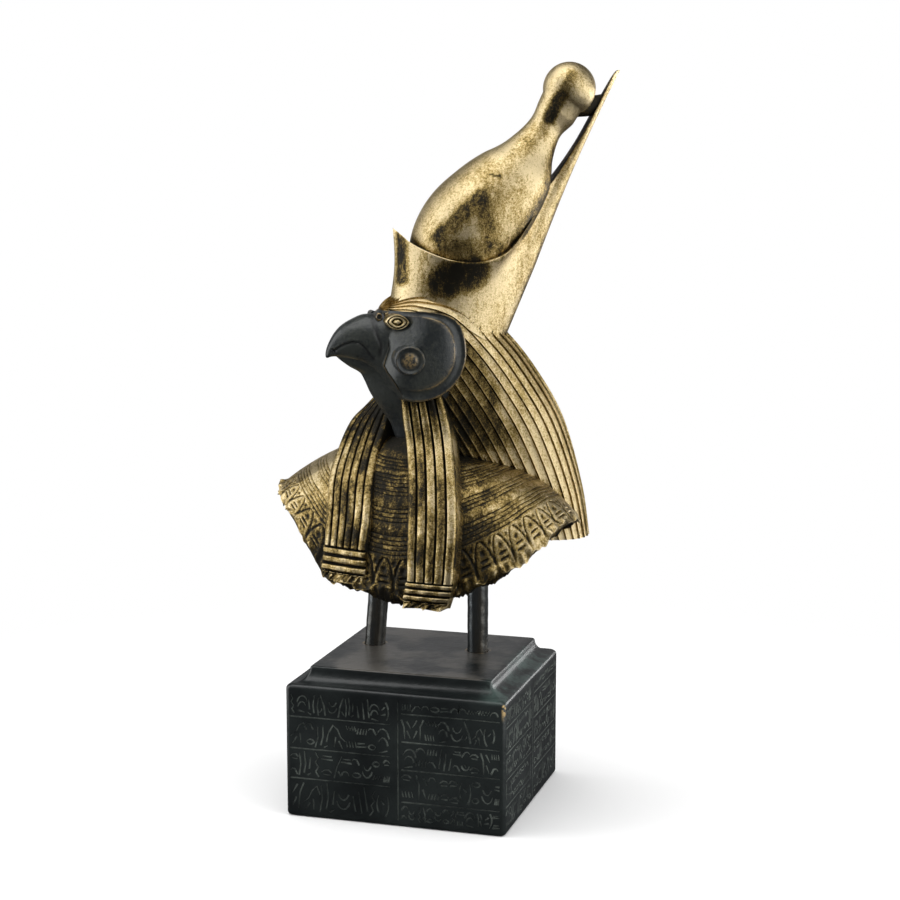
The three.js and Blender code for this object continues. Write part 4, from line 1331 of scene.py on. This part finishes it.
block = plinth()
print("doubled faces taken out:", drop_doubled(block.data))
block.data.shade_smooth()
block.data.set_sharp_from_angle(angle=math.radians(32))
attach(block, "root")
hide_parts("plinth")
told(block)

# %% [markdown]
# ## Rods
# The two rods are plain round bar, slightly uneven from casting and filing. Each is drawn as a stack
# of rings whose radius wavers by a few hundredths of a millimetre, which is enough to bend the long
# highlight on it.

# %% Rods
ROD_SIDES = 72


def rod(name):
    heights = np.linspace(PLINTH_TOP - ROD_SEAT, ROD_TOP, 60)
    angle = turns(ROD_SIDES)
    radii = []
    for z in heights:
        end = 0.5 if z in (heights[0], heights[-1]) else 0
        waver = 0.045 * np.sin(3 * angle + z * 0.35) + 0.035 * np.sin(z * 0.9 + 2 * angle)
        radii.append(ROD_RADIUS - 0.08 - end + waver)
    piece = form(name + "_bar", rod_rings(name, heights, radii, ROD_SIDES), drop=0)
    piece.data.materials.clear()
    piece.data.materials.append(rod_finish)
    piece.data.shade_smooth()
    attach(piece, "root")
    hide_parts(name)
    told(piece)


rod_finish = bpy.data.materials.new("rod_finish")
for name in RODS:
    rod(name)

# %% [markdown]
# ## Shader maths written as sums
# A finish is mostly arithmetic: so much wash where there is a hollow, less where an edge is rubbed.
# A small class lets a node's output be used in ordinary expressions, and each sign adds one node.

# %% Colours and wires


def tint(r, g, b):
    return (r, g, b, 1.0)


class Wire:
    """One value in a material, which can be added, multiplied and compared."""

    def __init__(self, sheet, socket):
        self.sheet = sheet
        self.socket = socket

    def maths(self, operation, *others, clamp=False):
        values = dict(enumerate((self,) + others))
        return self.sheet.node("Math", {"operation": operation, "use_clamp": clamp}, values)

    def __add__(self, other):
        return self.maths("ADD", other)

    def __sub__(self, other):
        return self.maths("SUBTRACT", other)

    def __rsub__(self, other):
        return self.sheet.node("Math", {"operation": "SUBTRACT"}, {0: other, 1: self})

    def __mul__(self, other):
        return self.maths("MULTIPLY", other)

    def clamp(self):
        return self.maths("ADD", 0.0, clamp=True)

    def step(self, low, high, a=0.0, b=1.0):
        """From a at low to b at high, smoothly."""
        sockets = {0: self, 1: low, 2: high, 3: a, 4: b}
        return self.sheet.node("MapRange", {"interpolation_type": "SMOOTHSTEP"}, sockets)

    __radd__ = __add__
    __rmul__ = __mul__


print("white, as a socket takes it:", tint(1, 1, 1))

# %% A sheet of nodes


class Sheet:
    """The nodes of one material."""

    def __init__(self, material):
        material.use_nodes = True
        self.tree = material.node_tree
        self.tree.nodes.clear()

    def node(self, kind, settings=None, sockets=None, output=0):
        made = self.tree.nodes.new("ShaderNode" + kind)
        for name, value in (settings or {}).items():
            setattr(made, name, value)
        for place, value in (sockets or {}).items():
            if isinstance(value, Wire):
                self.tree.links.new(value.socket, made.inputs[place])
            else:
                made.inputs[place].default_value = value
        return Wire(self, made.outputs[output])

    def point(self, label):
        return self.node("Attribute", {"attribute_name": label}, output="Fac")

    def place(self):
        return self.node("TexCoord", output="Object")

    def noise(self, scale, detail=3.0, rough=0.55, stretch=None):
        where = self.place()
        if stretch:
            where = self.node("Mapping", {}, {"Vector": where, "Scale": stretch})
        sockets = {"Vector": where, "Scale": scale, "Detail": detail, "Roughness": rough}
        return self.node("TexNoise", {}, sockets)

    def colour(self, share, a, b):
        return self.node("Mix", {"data_type": "RGBA"}, {0: share, 6: a, 7: b}, output=2)

    def finish(self, colour, roughness, metallic, height, depth, **fixed):
        bump = self.node("Bump", {}, {"Strength": 1.0, "Distance": depth, "Height": height})
        sockets = {"Base Color": colour, "Roughness": roughness, "Metallic": metallic, "Normal": bump}
        sockets.update(fixed)
        shader = self.node("BsdfPrincipled", {}, sockets)
        out = self.tree.nodes.new("ShaderNodeOutputMaterial")
        self.tree.links.new(shader.socket, out.inputs["Surface"])


print("finishes to make:", [entry.name for entry in [gilt, dark, *plinth_finishes, rod_finish]])

# %% [markdown]
# ## Antique gilt
# The finish runs from pale gold over a deep gold and a brown to a black ground, and one number, the
# level of patina and painted shade, says where on that way each point lies. Patina fills the cuts and
# hollows, painted shade darkens the hollows, the dark patches add painted shade and painted
# reflections, long streaks and clouds vary it, and a fine grain breaks its edges. The worn ridges stay
# bright.

# %% Gilt material
GOLD_PALE, GOLD_DEEP = tint(0.80, 0.655, 0.385), tint(0.40, 0.285, 0.098)
BROWN, GROUND = tint(0.108, 0.076, 0.028), tint(0.016, 0.014, 0.009)


def paint_gilt(material):
    sheet = Sheet(material)
    cut, hollow, ridge, shade, rub = (sheet.point(n) for n in ("cut", "hollow", "ridge", "shade", "rub"))
    clouds = sheet.noise(26, 4, 0.6)
    streak = sheet.noise(150, 5, 0.7, (1, 1, 0.4))
    fine = sheet.noise(700, 4, 0.75)
    grain = sheet.noise(1800, 3, 0.7)
    edge = (ridge.step(0.03, 0.16) + rub * (0.6 + streak * 0.5)).clamp()
    # shade holds patina, painted shade and painted reflections; the hollows add painted shade
    wash_and_shade = shade + cut * 0.9 + hollow.step(0.2, 0.75) * 0.55 + (clouds - 0.5) * 0.8 + 0.12
    wash_and_shade = wash_and_shade + (streak - 0.5) * (0.8 + shade * 2.2) - edge * 0.45
    level = wash_and_shade + (fine - 0.5) * 1.5 + (grain - 0.5) * 1.7
    colour = sheet.colour(level.step(0.0, 0.5), GOLD_PALE, GOLD_DEEP)
    colour = sheet.colour(level.step(0.4, 0.85), colour, BROWN)
    dull = level.step(0.72, 1.15)
    colour = sheet.colour(dull, colour, GROUND)
    roughness = (0.3 + fine * 0.16 + dull * 0.08).clamp()
    metallic = (1.0 - dull * 0.2).clamp()
    height = fine * 0.8 + grain * 0.4 - dull * 0.3 + streak * 0.9
    sheet.finish(colour, roughness, metallic, height, 0.00034)


paint_gilt(gilt)
print("nodes in the gilt:", len(gilt.node_tree.nodes))

# %% [markdown]
# ## Dark face
# The face, throat and lobes are a bluish to greenish black with a soft sheen, like oiled slate, and a
# little gold is rubbed over the raised rims.

# %% Dark material
FACE_BLUE, FACE_GREEN = tint(0.013, 0.017, 0.018), tint(0.029, 0.033, 0.028)
FACE_HOLLOW, FACE_GOLD = tint(0.006, 0.006, 0.007), tint(0.52, 0.36, 0.15)
GLAZE = {"Coat Weight": 0.4, "Coat Roughness": 0.26}


def paint_dark(material):
    sheet = Sheet(material)
    cut, hollow, ridge, rub = (sheet.point(n) for n in ("cut", "hollow", "ridge", "rub"))
    patches = sheet.noise(40, 4)
    fine = sheet.noise(520, 4, 0.7)
    pitted = sheet.noise(190, 3, 0.6)
    base = sheet.colour((patches + (fine - 0.5) * 0.8).step(0.35, 0.65), FACE_BLUE, FACE_GREEN)
    # The cut lines hold dark patina, and the hollows are darkened as painted shade
    deep = (cut * 0.8 + hollow.step(0.3, 0.9)).clamp()
    base = sheet.colour(deep, base, FACE_HOLLOW)
    worn = (rub * fine.step(0.36, 0.6) + ridge.step(0.07, 0.22) * fine.step(0.45, 0.62) * 0.2).clamp()
    colour = sheet.colour(worn, base, FACE_GOLD)
    roughness = (0.36 + fine * 0.16 - worn * 0.1 + deep * 0.15).clamp()
    metallic = (0.25 + worn * 0.7).clamp()
    sheet.finish(colour, roughness, metallic, fine + pitted * 1.5 + patches * 1.5, 0.0003, **GLAZE)


paint_dark(dark)
print("nodes in the dark face:", len(dark.node_tree.nodes))

# %% [markdown]
# ## Plinth and rods
# The plinth has the same slate-dark patina as the face, with a satin gloss. Paler scale lies in the
# incised strokes, a green bloom on the right-hand cove, brown clouds on the top, and a little gold on
# one corner and round the feet of the rods. All of it follows from where a point lies on the block,
# so noise and steps of its place are enough. The rods are dark steel with a brown bloom.

# %% Plinth material
PLINTH_DARK, PLINTH_GREEN = tint(0.0045, 0.0068, 0.0072), tint(0.014, 0.020, 0.019)
PLINTH_GOLD, BLOOM, TOP_BROWN = tint(0.62, 0.43, 0.18), tint(0.075, 0.12, 0.106), tint(0.125, 0.115, 0.10)
STROKE_DARK, STROKE_PALE = tint(0.03, 0.04, 0.037), tint(0.20, 0.225, 0.20)


def paint_plinth(material, strokes):
    sheet = Sheet(material)
    patches = sheet.noise(30, 5, 0.6)
    cloud = sheet.noise(9, 3)
    blotch = sheet.noise(24, 4, 0.55)
    fine = sheet.noise(420, 3, 0.6)
    x, y, z = (sheet.node("SeparateXYZ", {}, {0: sheet.place()}, output=k) for k in range(3))
    right, cove, top = x.step(0.045, 0.058), z.step(0.073, 0.077), z.step(0.0835, 0.0843)
    gold = (x * 0.7 - y * 0.7).step(0.08445, 0.0848) * fine.step(0.4, 0.54)
    gold = gold * z.step(0.064, 0.073) * z.step(0.0752, 0.0762, 1.0, 0.0)
    for rod_x, rod_y, _ in RODS.values():
        foot = {0: sheet.place(), 1: (rod_x * MM, rod_y * MM, PLINTH_TOP * MM)}
        away = sheet.node("VectorMath", {"operation": "DISTANCE"}, foot, output="Value")
        gold = gold + away.step(0.0066, 0.008, 1.0, 0.0) * fine.step(0.38, 0.5)
    base = sheet.colour((patches * 0.6 + cloud * 0.5).step(0.4, 0.75), PLINTH_DARK, PLINTH_GREEN)
    colour = sheet.colour(gold.clamp(), base, PLINTH_GOLD)
    bloom = right * cove * (patches + sheet.noise(160, 4, 0.7) * 0.6).step(0.72, 0.9)
    colour = sheet.colour((bloom * 0.7).clamp(), colour, BLOOM)
    colour = sheet.colour((top * blotch.step(0.44, 0.6) * 0.9).clamp(), colour, TOP_BROWN)
    roughness = (0.17 + patches * 0.22 + cloud * 0.16 + fine * 0.06 + right * cove * 0.2).clamp()
    if strokes:
        pale = (fine * 0.6 + sheet.noise(60, 4, 0.6) * 0.9).step(0.5, 1.0) * z.step(0.0, 0.05, 0.45, 1.0)
        # The strokes on the right-hand face are made paler, a painted highlight from the light on that side
        colour = sheet.colour((pale + right * 0.35).clamp(), STROKE_DARK, STROKE_PALE)
        roughness = (0.6 + fine * 0.1).clamp()
    height = fine * 0.5 + patches * 1.6 + blotch * 3.0
    sheet.finish(colour, roughness, (0.15 + gold * 0.6).clamp(), height, 0.0004, **GLAZE)


for finish, strokes in zip(plinth_finishes, (False, True)):
    paint_plinth(finish, strokes)
    print("nodes in", finish.name + ":", len(finish.node_tree.nodes))

# %% Rod material
ROD_DARK, ROD_BROWN = tint(0.085, 0.096, 0.102), tint(0.12, 0.10, 0.07)


def paint_rod(material):
    sheet = Sheet(material)
    patches = sheet.noise(60, 4, 0.6, (1, 1, 0.25))
    fine = sheet.noise(700, 3)
    base = sheet.colour(patches.step(0.35, 0.7), ROD_DARK, ROD_BROWN)
    roughness = (0.16 + fine * 0.12).clamp()
    metallic = (0.75 + patches * 0.1).clamp()
    sheet.finish(base, roughness, metallic, fine, 0.00008)


paint_rod(rod_finish)
print("nodes in", rod_finish.name + ":", len(rod_finish.node_tree.nodes))

# %% [markdown]
# ## Floor, light and camera
# The figure stands on a plain pale floor in soft studio light: a broad light on either side and one
# above, and two weaker panels behind. The room is dark where metal mirrors it, so that the gold has
# something dark to show, and white to the camera. The floor fades into that white.

# %% Floor
FLOOR_PALE, FLOOR_GREY = tint(0.9, 0.9, 0.9), tint(0.84, 0.84, 0.84)


def paint_floor(material):
    sheet = Sheet(material)
    where = sheet.place()
    away = sheet.node("VectorMath", {"operation": "LENGTH"}, {0: where}, output="Value")
    grain = sheet.noise(40, 2)
    colour = sheet.colour(grain * 0.15, FLOOR_PALE, FLOOR_GREY)
    shader = sheet.node("BsdfDiffuse", {}, {"Color": colour})
    clear = sheet.node("BsdfTransparent")
    mixed = sheet.node("MixShader", {}, {0: away.step(0.16, 0.5), 1: shader, 2: clear})
    out = sheet.tree.nodes.new("ShaderNodeOutputMaterial")
    sheet.tree.links.new(mixed.socket, out.inputs["Surface"])


FLOOR_RADIUS, FLOOR_SIDES = 1200, 96
floor_finish = bpy.data.materials.new("pale_floor")
angle = turns(FLOOR_SIDES)
ring = FLOOR_RADIUS * np.stack([np.cos(angle), np.sin(angle), 0 * angle], axis=-1)
floor = told(solid("floor", ring, [list(range(FLOOR_SIDES))], [floor_finish]))
floor.visible_glossy = False
paint_floor(floor_finish)

# %% Lights


def softbox(name, place, target, size, power):
    data = bpy.data.lights.new(name, "AREA")
    data.shape = "RECTANGLE"
    data.size, data.size_y = size
    data.energy = power
    lamp = bpy.data.objects.new(name, data)
    bpy.context.scene.collection.objects.link(lamp)
    lamp.location = place
    x, y, z = np.array(target) - np.array(place)
    lamp.rotation_euler = (math.atan2(math.hypot(x, y), -z), 0, math.atan2(y, x) - math.pi / 2)


middle = (0, 0, 0.22)
# Place, target and size in metres, and power in watts
softbox("left_softbox", (-1.25, -0.35, 0.55), middle, (1.1, 1.6), 12.5)
softbox("right_softbox", (1.25, -0.25, 0.55), middle, (1.2, 1.6), 10.5)
softbox("top_softbox", (-0.1, -0.2, 1.35), middle, (1.3, 1.1), 10)
softbox("back_panel", (-0.45, 1.5, 0.6), (-0.45, 0, 0.6), (2.2, 0.55), 1.5)
softbox("low_panel", (0.95, 0.9, 0.16), (0, 0, 0.08), (1.2, 0.3), 6)

# %% Surroundings
ROOM_MIRRORED, ROOM_SOFT, ROOM_SEEN = tint(0.035, 0.035, 0.038), tint(0.65, 0.65, 0.65), tint(1, 1, 1)
world = bpy.data.worlds.new("studio")
bpy.context.scene.world = world
world.use_nodes = True
tree = world.node_tree
tree.nodes.clear()
rays = tree.nodes.new("ShaderNodeLightPath")
back = tree.nodes.new("ShaderNodeBackground")
sky = tree.nodes.new("ShaderNodeOutputWorld")
last = None
# A glossy ray meets the dark room, a camera ray the white one, and any other ray the soft one
for a, b, ray in ((ROOM_SOFT, ROOM_MIRRORED, "Is Glossy Ray"), (None, ROOM_SEEN, "Is Camera Ray")):
    shares = tree.nodes.new("ShaderNodeMix")
    shares.data_type = "RGBA"
    shares.inputs[7].default_value = b
    tree.links.new(rays.outputs[ray], shares.inputs[0])
    if a:
        shares.inputs[6].default_value = a
    else:
        tree.links.new(last, shares.inputs[6])
    last = shares.outputs[2]
tree.links.new(last, back.inputs["Color"])
tree.links.new(back.outputs[0], sky.inputs["Surface"])
bpy.context.scene.view_settings.view_transform = "Standard"
print("world:", world.name)

# %% Camera
lens = bpy.data.cameras.new("photo_view")
lens.sensor_width = 36
lens.lens = 79.39
camera = bpy.data.objects.new("photo_view", lens)
bpy.context.scene.collection.objects.link(camera)
camera.location = (0.33150, -1.05602, 0.38072)
camera.rotation_euler = (math.radians(80.8), 0, math.radians(16.7))
bpy.context.scene.camera = camera
print("camera:", lens.lens, "mm lens, from", np.round(camera.location, 2))
